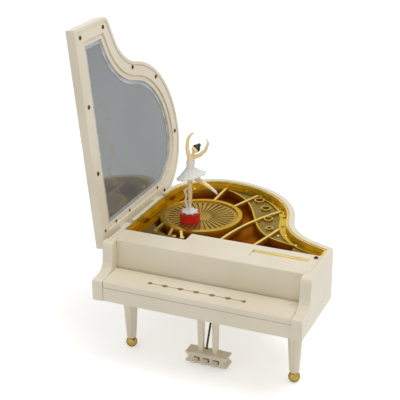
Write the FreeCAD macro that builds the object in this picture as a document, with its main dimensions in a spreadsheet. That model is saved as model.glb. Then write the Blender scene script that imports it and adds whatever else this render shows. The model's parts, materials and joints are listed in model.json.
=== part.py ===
import FreeCAD, Part
import math
import os
import Sketcher
from FreeCAD import Vector

doc = FreeCAD.newDocument("piano_music_box")
sheet = doc.addObject("Spreadsheet::Sheet", "Sizes")

# Driving sizes, in millimetres and degrees. X to the treble side, Y to the tail, Z up from the case bottom.
SIZES = {
    "case_width": 145.0, "case_depth": 152.5, "case_height": 34.7, "case_wall": 4.0,
    "tail_radius": 41.0, "bent_radius": 66.0, "bent_angle": 75.0, "waist_length": 6.0,
    "waist_radius": 40.0, "shoulder_angle": 22.6, "corner_radius": 5.0,
    "key_depth": 22.5, "arm_width": 7.2, "arm_height": 14.4, "arm_block": 6.0,
    "ledge_width": 2.0, "bottom_thick": 2.4, "seat_gap": 0.15, "bore_gap": 0.05, "swing_gap": 0.3,
    "tray_top": 31.2, "tray_thick": 7.2, "tray_skin": 1.2, "web_drop": 0.8, "margin_width": 6.5,
    "lip_width": 1.6, "lip_drop": 0.3, "strip_thick": 1.0, "bead_width": 1.1, "bead_rise": 0.8,
    "bar_width": 1.8, "bar_depth": 2.0, "bar_rise": 0.7, "rail_depth": 18.0, "desk_depth": 28.5,
    "desk_left": -23.0, "desk_right": 24.6, "slot_inset": 10.1, "slot_front": 18.0, "slot_width": 3.5,
    "stage_left": 40.5, "stage_back": 13.75, "stage_radius": 26.0, "ring_width": 3.0, "ring_height": 1.0,
    "stage_thick": 1.4, "ray_depth": 0.5, "ray_count": 36,
    "slip_height": 9.6, "slip_wall": 2.0, "slip_setback": 0.8, "key_top": 9.4, "sharp_rise": 1.6,
    "key_count": 21, "fall_top": 15.4, "fall_thick": 2.2, "lip_bottom": 9.9,
    "fall_pin": 0.8, "fall_back": 2.3,
    "lid_overhang": 1.7, "lid_thick": 6.2, "lid_skin": 2.2, "lid_open": 95.8, "lid_screw": 1.4,
    "frame_drop": 0.4, "frame_band": 9.5, "frame_ledge": 3.5, "frame_step": 1.0, "mirror_thick": 1.4,
    "hinge_x": 2.1, "hinge_drop": 4.1, "hinge_pin": 0.9, "lug_radius": 1.8, "lug_length": 9.4,
    "lug_front": 29.5, "lug_rear": 48.5,
    "leg_inset": 13.2, "leg_y": 28.3, "leg_rear_back": 16.5, "leg_length": 41.3,
    "leg_top": 10.4, "leg_foot": 6.2, "peg_radius": 2.0, "peg_shift": 3.0,
    "ball_radius": 3.87, "ball_drop": 43.9, "ball_flat": 75.0,
    "lyre_width": 29.6, "lyre_depth": 9.7, "lyre_front": 19.8, "lyre_top": 36.9, "lyre_height": 7.6,
    "post_spread": 5.2, "post_width": 3.2, "post_depth": 3.0, "cap_width": 16.0, "cap_height": 3.0,
    "pedal_pitch": 7.0, "pedal_width": 3.4, "pedal_reach": 5.0, "brace_radius": 0.7, "brace_foot": 44.0,
    "figure_side": -4.2, "figure_fore": -10.0, "drum_radius": 7.1, "drum_height": 6.4, "drum_wall": 1.2,
    "pad_radius": 5.9, "pad_thick": 0.9, "figure_height": 58.4,
    "bed_thick": 1.6, "barrel_side": 15.5, "barrel_aft": 11.5, "barrel_radius": 10.5, "barrel_height": 7.5,
    "wheel_thick": 1.4, "wheel_teeth": 40, "wheel_module": 0.62, "pinion_teeth": 22,
    "arbor_radius": 1.6, "tune_radius": 5.6, "tune_length": 20.0, "tune_pinion": 3.0, "comb_thick": 1.2,
    "magnet_radius": 5.0, "magnet_thick": 2.5, "key_wing": 22.0, "key_drop": 12.0,
    "frame_x": 11.53, "frame_y": -77.1, "frame_z": 47.638,
}
for row, (name, value) in enumerate(SIZES.items(), start=1):
    sheet.set("A%d" % row, name)
    sheet.set("B%d" % row, str(value))
    sheet.setAlias("B%d" % row, name)
doc.recompute()


class Size:
    """A number that remembers the sheet expression it came from."""

    def __init__(self, value, text):
        self.value = value
        self.text = text

    def join(self, other, sign, swap=False):
        value, text = plain(other), text_of(other)
        a, b = (value, self.value) if swap else (self.value, value)
        s, t = (text, self.text) if swap else (self.text, text)
        result = {"+": a + b, "-": a - b, "*": a * b}[sign] if sign != "/" else a / b
        return Size(result, "(%s %s %s)" % (s, sign, t))

    def __add__(self, other):
        return self.join(other, "+")

    def __radd__(self, other):
        return self.join(other, "+", True)

    def __sub__(self, other):
        return self.join(other, "-")

    def __rsub__(self, other):
        return self.join(other, "-", True)

    def __mul__(self, other):
        return self.join(other, "*")

    def __rmul__(self, other):
        return self.join(other, "*", True)

    def __truediv__(self, other):
        return self.join(other, "/")

    def __neg__(self):
        return self.join(-1, "*")


def plain(size):
    return size.value if isinstance(size, Size) else float(size)


def text_of(size):
    return size.text if isinstance(size, Size) else "(%.9g)" % size


def size_of(name):
    return Size(float(sheet.get(name)), "Sizes." + name)


S = {name: size_of(name) for name in SIZES}
PARTS = []


def bind(thing, prop, size):
    thing.setExpression(prop, text_of(size))


def finish(thing, name, x=0, y=0, z=0):
    """Names a sub-part and carries it from the case frame to the frame at the floor."""
    thing.Label = name
    bind(thing, "Placement.Base.x", S["frame_x"] + x)
    bind(thing, "Placement.Base.y", S["frame_y"] + y)
    bind(thing, "Placement.Base.z", S["frame_z"] + z)
    PARTS.append(thing)
    return thing


def new_body(name):
    return doc.addObject("PartDesign::Body", name)


def sketch_on(body, plane, lift=0):
    made = body.newObject("Sketcher::SketchObject", body.Name + "_sketch")
    origin = [o for o in body.Origin.OriginFeatures if o.Role == plane + "_Plane"][0]
    made.AttachmentSupport = [(origin, "")]
    made.MapMode = "FlatFace"
    bind(made, "AttachmentOffset.Base.z", lift)
    return made


def fix(sketch, kind, *args):
    """Adds one dimension to a sketch and binds it to its sheet cells."""
    where, size = args[:-1], args[-1]
    index = sketch.addConstraint(Sketcher.Constraint(kind, *where, plain(size)))
    if isinstance(size, Size):
        bind(sketch, "Constraints[%d]" % index, size)


def polygon(sketch, points):
    """A closed outline of straight lines, each corner dimensioned from the origin."""
    first = len(sketch.Geometry)
    ends = [Vector(plain(x), plain(y), 0) for x, y in points]
    count = len(ends)
    for i in range(count):
        sketch.addGeometry(Part.LineSegment(ends[i], ends[(i + 1) % count]), False)
    for i in range(count):
        sketch.addConstraint(Sketcher.Constraint("Coincident", first + i, 2, first + (i + 1) % count, 1))
    for i, (x, y) in enumerate(points):
        fix(sketch, "DistanceX", -1, 1, first + i, 1, x)
        fix(sketch, "DistanceY", -1, 1, first + i, 1, y)


def rectangle(sketch, x0, y0, x1, y1):
    polygon(sketch, [(x0, y0), (x1, y0), (x1, y1), (x0, y1)])


def circle(sketch, x, y, radius):
    round_edge = Part.Circle(Vector(plain(x), plain(y), 0), Vector(0, 0, 1), plain(radius))
    index = sketch.addGeometry(round_edge, False)
    fix(sketch, "DistanceX", -1, 1, index, 3, x)
    fix(sketch, "DistanceY", -1, 1, index, 3, y)
    fix(sketch, "Radius", index, radius)


def pad(body, sketch, length, both=False, back=False):
    made = body.newObject("PartDesign::Pad", body.Name + "_pad")
    made.Profile = sketch
    bind(made, "Length", length)
    made.Midplane = both
    made.Reversed = back
    doc.recompute()
    return made


def pocket(body, sketch, length, up=False):
    """Cuts down from the sketch, or up from it, and makes sure that something went."""
    before = body.Shape.Volume
    made = body.newObject("PartDesign::Pocket", body.Name + "_pocket")
    made.Profile = sketch
    bind(made, "Length", length)
    made.Reversed = up
    doc.recompute()
    if body.Shape.Volume > before - 1e-6:
        raise ValueError("nothing was cut from " + body.Name)
    return made


def bends(inset):
    """The points where the curved side of the plan changes from one curve to the next."""
    half = plain(S["case_width"] / 2 - inset)
    spine = plain(S["tail_radius"] - S["case_width"] / 2)
    a, s = math.radians(plain(S["bent_angle"])), math.radians(plain(S["shoulder_angle"]))
    away, lean = Vector(math.sin(a), math.cos(a), 0), Vector(math.sin(s), math.cos(s), 0)
    bent_mid = Vector(spine, plain(S["case_depth"] - S["bent_radius"]), 0)
    leave = bent_mid + away * plain(S["bent_radius"] - inset)
    enter = leave + Vector(math.cos(a), -math.sin(a), 0) * plain(S["waist_length"])
    waist_mid = enter + away * plain(S["waist_radius"] + inset)
    shoulder = waist_mid - lean * plain(S["waist_radius"] + inset)
    reach = (half - shoulder.x) / math.cos(s)
    tip = shoulder + Vector(math.cos(s), -math.sin(s), 0) * reach
    return bent_mid, leave, enter, waist_mid, shoulder, tip


def piano_outline(sketch, inset, front):
    """The piano's plan: straight spine and treble side, round tail, bent side, hollow waist and shoulder."""
    half = S["case_width"] / 2 - inset
    bent, tail = S["bent_radius"] - inset, S["tail_radius"] - inset
    waist = S["waist_radius"] + inset
    corner = S["corner_radius"] - inset if plain(S["corner_radius"] - inset) > 1 else 1.0
    s = math.radians(plain(S["shoulder_angle"]))
    bent_mid, leave, enter, waist_mid, shoulder, tip = bends(inset)
    tail_mid = Vector(bent_mid.x, plain(S["case_depth"] - S["tail_radius"]), 0)
    cut = plain(corner) / math.tan((math.pi / 2 + s) / 2)
    low = tip - Vector(0, cut, 0)
    high = tip + Vector(-math.cos(s), math.sin(s), 0) * cut
    corner_mid = low - Vector(plain(corner), 0, 0)
    left, right = Vector(-plain(half), plain(front), 0), Vector(plain(half), plain(front), 0)

    def arc(mid, radius, start, end):
        turn = Part.Circle(mid, Vector(0, 0, 1), plain(radius))
        return Part.ArcOfCircle(turn, math.radians(start), math.radians(end))

    angle_a, angle_s = plain(S["bent_angle"]), plain(S["shoulder_angle"])
    base = len(sketch.Geometry)
    for shape in (
        Part.LineSegment(left, right), Part.LineSegment(right, low), arc(corner_mid, corner, 0, 90 - angle_s),
        Part.LineSegment(high, shoulder), arc(waist_mid, waist, 270 - angle_a, 270 - angle_s),
        Part.LineSegment(enter, leave), arc(bent_mid, bent, 90 - angle_a, 90), arc(tail_mid, tail, 90, 180),
        Part.LineSegment(Vector(-plain(half), tail_mid.y, 0), left),
    ):
        sketch.addGeometry(shape, False)
    front_edge, side, nose, slope, hollow, neck, bend, end, back = range(base, base + 9)
    joins = [(side, 2, nose, 1), (nose, 2, slope, 1), (slope, 2, hollow, 2), (hollow, 1, neck, 1)]
    joins += [(neck, 2, bend, 1), (bend, 2, end, 1), (end, 2, back, 1)]
    for join in joins:
        sketch.addConstraint(Sketcher.Constraint("Tangent", *join))
    for join in ((front_edge, 2, side, 1), (back, 2, front_edge, 1)):
        sketch.addConstraint(Sketcher.Constraint("Coincident", *join))
    sketch.addConstraint(Sketcher.Constraint("Horizontal", front_edge))
    sketch.addConstraint(Sketcher.Constraint("Vertical", side))
    sketch.addConstraint(Sketcher.Constraint("Vertical", back))
    fix(sketch, "DistanceX", -1, 1, front_edge, 1, -half)
    fix(sketch, "DistanceY", -1, 1, front_edge, 1, front)
    fix(sketch, "DistanceX", -1, 1, front_edge, 2, half)
    fix(sketch, "Radius", nose, corner)
    fix(sketch, "Radius", hollow, waist)
    fix(sketch, "Radius", bend, bent)
    fix(sketch, "Radius", end, tail)
    fix(sketch, "DistanceY", -1, 1, bend, 2, S["case_depth"] - inset)


def place(shape, name, turn=None, x=0, y=0, z=0):
    """A sub-part whose shape comes straight from the sheet's numbers."""
    made = doc.addObject("Part::Feature", name)
    made.Shape = shape
    made.Label = name
    spin = turn if turn else FreeCAD.Rotation()
    shift = Vector(plain(S["frame_x"] + x), plain(S["frame_y"] + y), plain(S["frame_z"] + z))
    made.Placement = FreeCAD.Placement(shift, spin)
    PARTS.append(made)
    return made


def rod(start, end, radius, end_radius=None):
    """A round bar, or a cone, between two points."""
    along = end - start
    if end_radius is None or abs(end_radius - radius) < 1e-6:
        return Part.makeCylinder(radius, along.Length, start, along)
    return Part.makeCone(radius, end_radius, along.Length, start, along)


def joined(shapes):
    whole = shapes[0]
    for shape in shapes[1:]:
        whole = whole.fuse(shape)
    return whole.removeSplitter()


width, wall, height = S["case_width"], S["case_wall"], S["case_height"]
front_wall = S["key_depth"] + wall
tray_bottom = S["tray_top"] - S["tray_thick"]
inner_arm = width / 2 - S["arm_width"]
gap = S["seat_gap"]
rail_back = S["key_depth"] + S["rail_depth"]
desk_back = S["key_depth"] + S["desk_depth"]
tail_x, tail_y = S["tail_radius"] - width / 2, S["case_depth"] - S["tail_radius"]
stage_x = S["stage_left"] - width / 2
stage_y = (desk_back + S["case_depth"]) / 2 - S["stage_back"]
figure_x, figure_y = stage_x + S["figure_side"], stage_y + S["figure_fore"]
barrel_x, barrel_y = figure_x + S["barrel_side"], figure_y + S["barrel_aft"]
lug_places = (S["key_depth"] + S["lug_front"], S["case_depth"] - S["lug_rear"])
boss_side = width / 2 - wall - 8.5
boss_places = [(-boss_side, S["key_depth"] + 21.5), (boss_side, S["key_depth"] + 21.5)]
boss_places += [(4.0 - boss_side, tail_y + 0.5), (tail_x + 45.5, tail_y + 6.5)]
screw_x, screw_y = width / 2 - S["slot_inset"] + 3.2, desk_back - 4.0


def from_tail(x, y):
    """A place on the tray, counted from the centre of the tail's curve."""
    return plain(tail_x) + x, plain(tail_y) + y


def plain_path(sketch, points, closed=True):
    """Straight lines through points that are worked out from the sheet's numbers."""
    ends = [Vector(x, y, 0) for x, y in points]
    if closed:
        ends.append(ends[0])
    for a, b in zip(ends, ends[1:]):
        sketch.addGeometry(Part.LineSegment(a, b), False)


def strip(sketch, points, wide):
    """A band of even width along a line of points."""
    left, right = [], []
    for i, (x, y) in enumerate(points):
        before, after = points[max(i - 1, 0)], points[min(i + 1, len(points) - 1)]
        dx, dy = after[0] - before[0], after[1] - before[1]
        k = plain(wide) / 2 / math.hypot(dx, dy)
        left.append((x - dy * k, y + dx * k))
        right.append((x + dy * k, y - dx * k))
    plain_path(sketch, left + right[::-1])


def bow(start, middle, end, count=9):
    """Points on the curve that leaves start and reaches end, drawn towards the middle point."""
    points = []
    for i in range(count):
        t = i / (count - 1)
        shares = (1 - t) ** 2, 2 * t * (1 - t), t * t
        x, y = [sum(k * p[axis] for k, p in zip(shares, (start, middle, end))) for axis in (0, 1)]
        points.append((x, y))
    return points


# Case rim: wall, ledge for the tray, arms, notches for the lid's lugs
rim = new_body("case_rim")
plan = sketch_on(rim, "XY")
piano_outline(plan, 0, S["key_depth"])
pad(rim, plan, height)
for side in (-1, 1):
    arm = sketch_on(rim, "YZ", side * (width / 2) if side > 0 else -width / 2)
    brow = S["key_depth"] - S["arm_block"]
    points = [(0, 0), (front_wall, 0), (front_wall, height), (brow + 2.5, height), (brow + 0.7, height - 0.8)]
    points += [(brow, height - 2.6), (brow - 1.0, S["arm_height"] + 6.5), (brow - 2.6, S["arm_height"] + 3.2)]
    points += [(brow - 5.6, S["arm_height"] + 1.0), (brow - 9.5, S["arm_height"] + 0.2)]
    points += [(1.6, S["arm_height"]), (0.4, S["arm_height"] - 0.6), (0, S["arm_height"] - 2.0)]
    polygon(arm, points)
    pad(rim, arm, S["arm_width"], back=side > 0)
room = sketch_on(rim, "XY", height)
piano_outline(room, wall, front_wall)
pocket(rim, room, height - tray_bottom)
room = sketch_on(rim, "XY", tray_bottom)
piano_outline(room, wall + S["ledge_width"], front_wall + S["ledge_width"])
pocket(rim, room, tray_bottom)
room = sketch_on(rim, "XY", S["bottom_thick"])
piano_outline(room, wall, front_wall)
pocket(rim, room, S["bottom_thick"])
sill = sketch_on(rim, "XY", height)
rectangle(sill, -inner_arm, S["key_depth"] - 1, inner_arm, front_wall + 1)
pocket(rim, sill, height - S["tray_top"])
for lug_y in lug_places:
    notch = sketch_on(rim, "XY", height)
    reach = S["lug_length"] / 2 + S["swing_gap"]
    rectangle(notch, -width / 2 - 1, lug_y - reach, wall - width / 2 + 0.4, lug_y + reach)
    pocket(rim, notch, S["hinge_drop"] + S["lug_radius"] + 2 * S["swing_gap"])
slant = sketch_on(rim, "XZ", -(S["case_depth"] + 1))
edge = S["hinge_x"] - 0.9
outside = -width / 2 - 1
polygon(slant, [(outside, height + 1), (edge - width / 2 + 1, height + 1), (outside, height - edge - 1)])
pocket(rim, slant, S["case_depth"] - S["key_depth"] + 1, up=True)
bores = sketch_on(rim, "XZ", -(lug_places[1] + 14))
circle(bores, S["hinge_x"] - width / 2, height - S["hinge_drop"], S["hinge_pin"] + S["bore_gap"])
pocket(rim, bores, lug_places[1] - lug_places[0] + 28, up=True)
pins = sketch_on(rim, "YZ", -(inner_arm + 3))
pin_y, pin_z = S["key_depth"] - S["fall_back"], S["fall_top"] - S["fall_thick"] + 0.3
circle(pins, pin_y, pin_z, S["fall_pin"] + S["bore_gap"])
pocket(rim, pins, 2 * inner_arm + 6, up=True)
finish(rim, "case_rim")

# Bottom plate, let into the rim from below and held by screws in the tray's posts
bottom = new_body("bottom_plate")
plan = sketch_on(bottom, "XY")
piano_outline(plan, wall + gap, front_wall + gap)
pad(bottom, plan, S["bottom_thick"])
holes = sketch_on(bottom, "XY", S["bottom_thick"])
leg_x = width / 2 - S["leg_inset"]
leg_places = [(-leg_x, S["leg_y"]), (leg_x, S["leg_y"]), (tail_x, S["case_depth"] - S["leg_rear_back"])]
for x, y in leg_places:
    circle(holes, x, y + S["peg_shift"], S["peg_radius"] + S["bore_gap"])
circle(holes, barrel_x, barrel_y, S["arbor_radius"] + 0.6)
for x, y in boss_places:
    circle(holes, x, y, 1.25)
pocket(bottom, holes, S["bottom_thick"] + 1)
finish(bottom, "bottom_plate")

# Gold tray: margin, sunken web with its bead and ports, deep well, stage drum and harp bars
tray = new_body("gold_tray")
web_top = S["tray_top"] - S["web_drop"]
floor_top = tray_bottom + S["tray_skin"]
plan = sketch_on(tray, "XY", tray_bottom)
piano_outline(plan, wall + gap, front_wall + gap)
pad(tray, plan, web_top - tray_bottom)
margin = sketch_on(tray, "XY", web_top)
piano_outline(margin, wall + gap, front_wall + gap)
piano_outline(margin, wall + gap + S["margin_width"], front_wall + gap + S["margin_width"])
pad(tray, margin, S["web_drop"])
lip = sketch_on(tray, "XY", S["tray_top"])
piano_outline(lip, wall + gap, front_wall + gap)
piano_outline(lip, wall + gap + S["lip_width"], front_wall + gap + S["lip_width"])
pad(tray, lip, height - S["lip_drop"] - S["tray_top"])
rail_reach = [(-width / 2, S["desk_left"], rail_back), (S["desk_left"] - 1, width / 2, desk_back)]
for left, right, back in rail_reach:
    rail_room = sketch_on(tray, "XY", height)
    rectangle(rail_room, left, S["key_depth"], right, back + gap)
    pocket(tray, rail_room, height - S["tray_top"])
bead = [from_tail(x, y) for x, y in (
    (-1.2, 29.2), (11.0, 22.6), (20.8, 13.4), (30.6, -2.3), (38.7, -17.9), (46.0, -29.5), (53.7, -36.9),
    (64.8, -41.9), (75.5, -44.3))]
curve = Part.BSplineCurve()
curve.interpolate([Vector(x, y, 0) for x, y in bead])
bead_line = [(v.x, v.y) for v in curve.discretize(25)]
shelf_left, shelf_right = plain(rail_back) + 9.5, plain(desk_back) + 1.5
spine_edge = plain(wall - width / 2) + 9.8
well_edge = [(bead[-1][0] + 2.0, shelf_right), (plain(S["desk_left"]) + 1.5, shelf_right)]
well_edge += [(plain(S["desk_left"]) - 1.0, shelf_left), (plain(S["desk_left"]) - 17, shelf_left)]
well_edge += [(spine_edge + 10.5, shelf_left + 5), (spine_edge, shelf_left + 16)]
well_edge += [(spine_edge, from_tail(0, 1.0)[1])]
well_edge += bow(from_tail(-27.0, 1.0), from_tail(-24.0, 27.5), bead[0], 7)[1:-1]
well = sketch_on(tray, "XY", web_top)
plain_path(well, bead_line + well_edge)
pocket(tray, well, web_top - floor_top)
drum = sketch_on(tray, "XY", floor_top)
circle(drum, stage_x, stage_y, S["stage_radius"] + S["ring_width"])
pad(tray, drum, S["tray_top"] - floor_top)
ring = sketch_on(tray, "XY", S["tray_top"])
circle(ring, stage_x, stage_y, S["stage_radius"] + S["ring_width"])
circle(ring, stage_x, stage_y, S["stage_radius"])
pad(tray, ring, S["ring_height"])
sunk = sketch_on(tray, "XY", S["tray_top"])
circle(sunk, stage_x, stage_y, S["stage_radius"])
pocket(tray, sunk, S["stage_thick"])
beads = sketch_on(tray, "XY", web_top)
strip(beads, bead_line, S["bead_width"])
pad(tray, beads, S["bead_rise"])
ring_r = plain(S["stage_radius"] + S["ring_width"]) - 0.6


def from_ring(degrees):
    turn = math.radians(degrees)
    return plain(stage_x) + ring_r * math.cos(turn), plain(stage_y) + ring_r * math.sin(turn)


bars = [[from_ring(94), from_tail(-3.1, 35.9)], [from_ring(57), from_tail(24.6, 28.2)]]
front_bars = [(plain(stage_x) + across, shelf_right - 1.0) for across in (27.5, 50.5)]
bars += [bow(front_bars[0], from_tail(30.5, -24.0), from_tail(49.5, 5.2))]
bars += [bow(front_bars[1], from_tail(54.5, -42.0), from_tail(58.0, -24.8), 5)]
stage_mid = plain(stage_x)
bars += [[from_ring(228), (spine_edge + 7.5, shelf_left + 4.0)]]
bars += [[from_ring(250), (stage_mid - 7, shelf_left - 1)]]
bars += [[from_ring(264), (stage_mid + 2.5, shelf_left - 1)]]
bars += [[from_ring(196), (spine_edge - 1, from_ring(196)[1] - 3)]]
for points in bars:
    bar = sketch_on(tray, "XY", S["tray_top"] - S["bar_depth"])
    strip(bar, points, S["bar_width"])
    pad(tray, bar, S["bar_depth"] + S["bar_rise"])
ports = sketch_on(tray, "XY", web_top)
holes = sketch_on(tray, "XY", web_top)
for x, y, r in ((27.6, 19.0, 3.7), (37.0, 7.0, 3.6), (45.0, -10.0, 3.2), (51.0, -24.6, 2.5)):
    circle(ports, *from_tail(x, y), r)
    circle(ports, *from_tail(x, y), r - 0.7)
    circle(holes, *from_tail(x, y), r - 0.7)
pad(tray, ports, 1.2)
pocket(tray, holes, 3.0)
studs = sketch_on(tray, "XY", S["tray_top"])
stud_reach = plain(S["bent_radius"] - wall - gap - S["margin_width"] / 2)
bent_low = plain(S["tail_radius"] - S["bent_radius"])
for degrees in (78, 64, 50, 36, 22):
    turn = math.radians(degrees)
    circle(studs, *from_tail(stud_reach * math.cos(turn), bent_low + stud_reach * math.sin(turn)), 0.9)
circle(studs, *from_tail(58.4, -18.0), 0.9)
pad(tray, studs, 0.8)
knobs = sketch_on(tray, "XY", web_top)
circle(knobs, spine_edge + 8.2, shelf_left + 2.0, 1.5)
circle(knobs, stage_mid - 3.0, shelf_left - 1.6, 1.5)
circle(knobs, stage_mid + 3.0, shelf_left - 1.6, 1.5)
pad(tray, knobs, 1.8)
recess = sketch_on(tray, "XY", S["tray_top"])
for y in (shelf_left + 12.0, from_tail(0, -6.0)[1]):
    rectangle(recess, wall - width / 2 + 2.2, y, wall - width / 2 + 6.0, y + 9.0)
pocket(tray, recess, 2.4)
posts = sketch_on(tray, "XY", S["bottom_thick"])
for x, y in boss_places:
    circle(posts, x, y, 3.2)
    circle(posts, x, y, 1.0)
pad(tray, posts, tray_bottom - S["bottom_thick"])
rail_bore = sketch_on(tray, "XY", S["tray_top"])
circle(rail_bore, screw_x, screw_y, S["lid_screw"] * 0.6 + S["bore_gap"])
pocket(tray, rail_bore, 3.0)
finish(tray, "gold_tray")

# Stage disc with its sunk rays
disc = Part.makeCylinder(plain(S["stage_radius"] - gap), plain(S["stage_thick"]))
ray_low, ray_far = plain(S["stage_radius"]) * 0.28, plain(S["stage_radius"]) - 3.2
wedge = [Vector(ray_low, -0.25, 0), Vector(ray_far, -0.75, 0), Vector(ray_far + 0.6, 0, 0)]
wedge += [Vector(ray_far, 0.75, 0), Vector(ray_low, 0.25, 0)]
ray = Part.Face(Part.makePolygon(wedge + wedge[:1])).extrude(Vector(0, 0, 2))
rays = []
for i in range(int(plain(S["ray_count"]))):
    one = ray.copy()
    one.translate(Vector(0, 0, plain(S["stage_thick"] - S["ray_depth"])))
    one.rotate(Vector(), Vector(0, 0, 1), 360.0 * i / plain(S["ray_count"]))
    rays.append(one)
disc = disc.cut(Part.makeCompound(rays))
place(disc, "stage_disc", None, stage_x, stage_y, S["tray_top"] - S["stage_thick"])

# Front rail with the desk panel, and the slot beside it
rail = new_body("front_rail")
plan = sketch_on(rail, "XY", S["tray_top"])
side_in = width / 2 - wall - gap
points = [(gap - inner_arm, S["key_depth"]), (inner_arm - gap, S["key_depth"])]
points += [(inner_arm - gap, front_wall + gap), (side_in, front_wall + gap), (side_in, desk_back)]
points += [(S["desk_left"], desk_back), (S["desk_left"], rail_back)]
points += [(-side_in, rail_back), (-side_in, front_wall + gap), (gap - inner_arm, front_wall + gap)]
polygon(plan, points)
pad(rail, plan, height - S["tray_top"])
slot = sketch_on(rail, "XY", height)
slot_y = S["key_depth"] + S["slot_front"]
rectangle(slot, S["desk_right"], slot_y, width / 2 - S["slot_inset"], slot_y + S["slot_width"])
pocket(rail, slot, height - S["tray_top"] + 1)
under_strip = sketch_on(rail, "XY", S["tray_top"])
rectangle(under_strip, S["desk_right"], slot_y, width / 2 - S["slot_inset"], desk_back + 1)
pocket(rail, under_strip, height - S["tray_top"] - S["strip_thick"], up=True)
seam = sketch_on(rail, "XY", height)
rectangle(seam, S["desk_right"] - 0.6, slot_y - 5.5, S["desk_right"] - 0.1, slot_y + S["slot_width"])
pocket(rail, seam, 0.8)
holes = sketch_on(rail, "XY", height)
circle(holes, screw_x, screw_y, S["lid_screw"] * 0.6 + S["bore_gap"])
pocket(rail, holes, height - S["tray_top"] + 1)
finish(rail, "front_rail")
head = Part.makeCylinder(plain(S["lid_screw"]), 0.7)
deep = plain(height - S["tray_top"])
shank = Part.makeCylinder(plain(S["lid_screw"] * 0.6), deep, Vector(0, 0, 0), Vector(0, 0, -1))
cross = Part.makeBox(2, 0.5, 0.5, Vector(-1, -0.25, 0.4))
place(joined([head, shank]).cut(cross), "rail_screw", None, screw_x, screw_y, height)

# Key slip and bed between the arms, with the moulded keys on it
slip = new_body("key_slip")
plan = sketch_on(slip, "YZ", gap - inner_arm)
slip_back = S["slip_setback"] + S["slip_wall"]
points = [(S["slip_setback"], 0), (S["key_depth"] - gap, 0), (S["key_depth"] - gap, S["bottom_thick"])]
points += [(slip_back, S["bottom_thick"]), (slip_back, S["slip_height"])]
points += [(S["slip_setback"], S["slip_height"])]
polygon(plan, points)
pad(slip, plan, 2 * (inner_arm - gap))
finish(slip, "key_slip")
keys_front = slip_back + 1.4
keys_back = S["key_depth"] - 4.2
span = 2 * (inner_arm - 2.0)
pitch = span / S["key_count"]
whites = new_body("white_keys")
plan = sketch_on(whites, "XY", S["bottom_thick"])
rectangle(plan, -span / 2, keys_front, span / 2, keys_back)
pad(whites, plan, S["key_top"] - S["bottom_thick"])
nick = sketch_on(whites, "XY", S["key_top"])
rectangle(nick, pitch - span / 2 - 0.2, keys_front - 1, pitch - span / 2 + 0.2, keys_back - 1)
first_nick = pocket(whites, nick, 1.2)
nicks = whites.newObject("PartDesign::LinearPattern", "nicks")
nicks.Originals = [first_nick]
nicks.Direction = (nick, ["H_Axis"])
bind(nicks, "Length", span - 2 * pitch)
bind(nicks, "Occurrences", S["key_count"] - 1)
whites.Tip = nicks
finish(whites, "white_keys")
sharps = []
for i in range(1, int(plain(S["key_count"]))):
    if i % 7 in (1, 2, 4, 5, 6):
        x = plain(pitch * i - span / 2) - plain(pitch) * 0.28
        size = (plain(pitch) * 0.56, plain(keys_back - keys_front) * 0.62, plain(S["sharp_rise"]))
        sharps.append(Part.makeBox(*size, Vector(x, plain(keys_back) - size[1], plain(S["key_top"]))))
place(Part.makeCompound(sharps), "black_keys")

# Fallboard on two moulded pins; it turns up against the front wall
fall = new_body("fallboard")
plan = sketch_on(fall, "YZ", S["swing_gap"] - inner_arm)
under = S["fall_top"] - S["fall_thick"]
points = [(S["slip_setback"], S["lip_bottom"]), (slip_back, S["lip_bottom"]), (slip_back, under - 1.2)]
points += [(pin_y - 1.6, under - 0.4), (pin_y - 0.6, under - 1.2), (pin_y + 0.8, under - 1.0)]
points += [(pin_y + 1.5, under + 0.3), (pin_y + 1.3, under + 1.5), (pin_y + 0.4, S["fall_top"])]
points += [(S["slip_setback"] + 1.0, S["arm_height"] + 0.1), (S["slip_setback"], S["arm_height"] - 0.9)]
polygon(plan, points)
pad(fall, plan, 2 * (inner_arm - S["swing_gap"]))
pins = sketch_on(fall, "YZ", -(inner_arm + 2.6))
circle(pins, pin_y, pin_z, S["fall_pin"])
pad(fall, pins, 2 * (inner_arm + 2.6))
finish(fall, "fallboard")

# Lid, modelled shut and then turned open about the hinge line
lid_low = height + S["swing_gap"]
hinge = Vector(plain(S["hinge_x"] - width / 2), 0, plain(height - S["hinge_drop"]))
open_turn = FreeCAD.Rotation(Vector(0, 1, 0), -plain(S["lid_open"]))
lid_shift = hinge - open_turn.multVec(hinge)


def finish_lid(thing, name):
    thing.Label = name
    shift = Vector(plain(S["frame_x"]), plain(S["frame_y"]), plain(S["frame_z"])) + lid_shift
    thing.Placement = FreeCAD.Placement(shift, open_turn)
    PARTS.append(thing)


def lid_inset(band):
    return band - S["lid_overhang"], S["key_depth"] + band


shell = new_body("lid_shell")
plan = sketch_on(shell, "XY", lid_low)
piano_outline(plan, *lid_inset(0.0))
pad(shell, plan, S["lid_thick"])
room = sketch_on(shell, "XY", lid_low)
piano_outline(room, *lid_inset(S["lid_skin"]))
pocket(shell, room, S["lid_thick"] - S["lid_skin"], up=True)
for lug_y in lug_places:
    lug = sketch_on(shell, "XZ", -(lug_y + S["lug_length"] / 2))
    pivot_x, pivot_z = S["hinge_x"] - width / 2, height - S["hinge_drop"]
    r = S["lug_radius"]
    points = [(pivot_x - r, pivot_z), (pivot_x - 0.7 * r, pivot_z - 0.7 * r), (pivot_x, pivot_z - r)]
    points += [(pivot_x + 0.7 * r, pivot_z - 0.7 * r), (pivot_x + r, pivot_z)]
    points += [(pivot_x + r, lid_low + S["lid_thick"] - S["lid_skin"] + 0.5)]
    points += [(pivot_x - r, lid_low + S["lid_thick"] - S["lid_skin"] + 0.5)]
    polygon(lug, points)
    pad(shell, lug, S["lug_length"])
bore = sketch_on(shell, "XZ", -(lug_places[1] + 20))
circle(bore, pivot_x, pivot_z, S["hinge_pin"] + S["bore_gap"])
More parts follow.
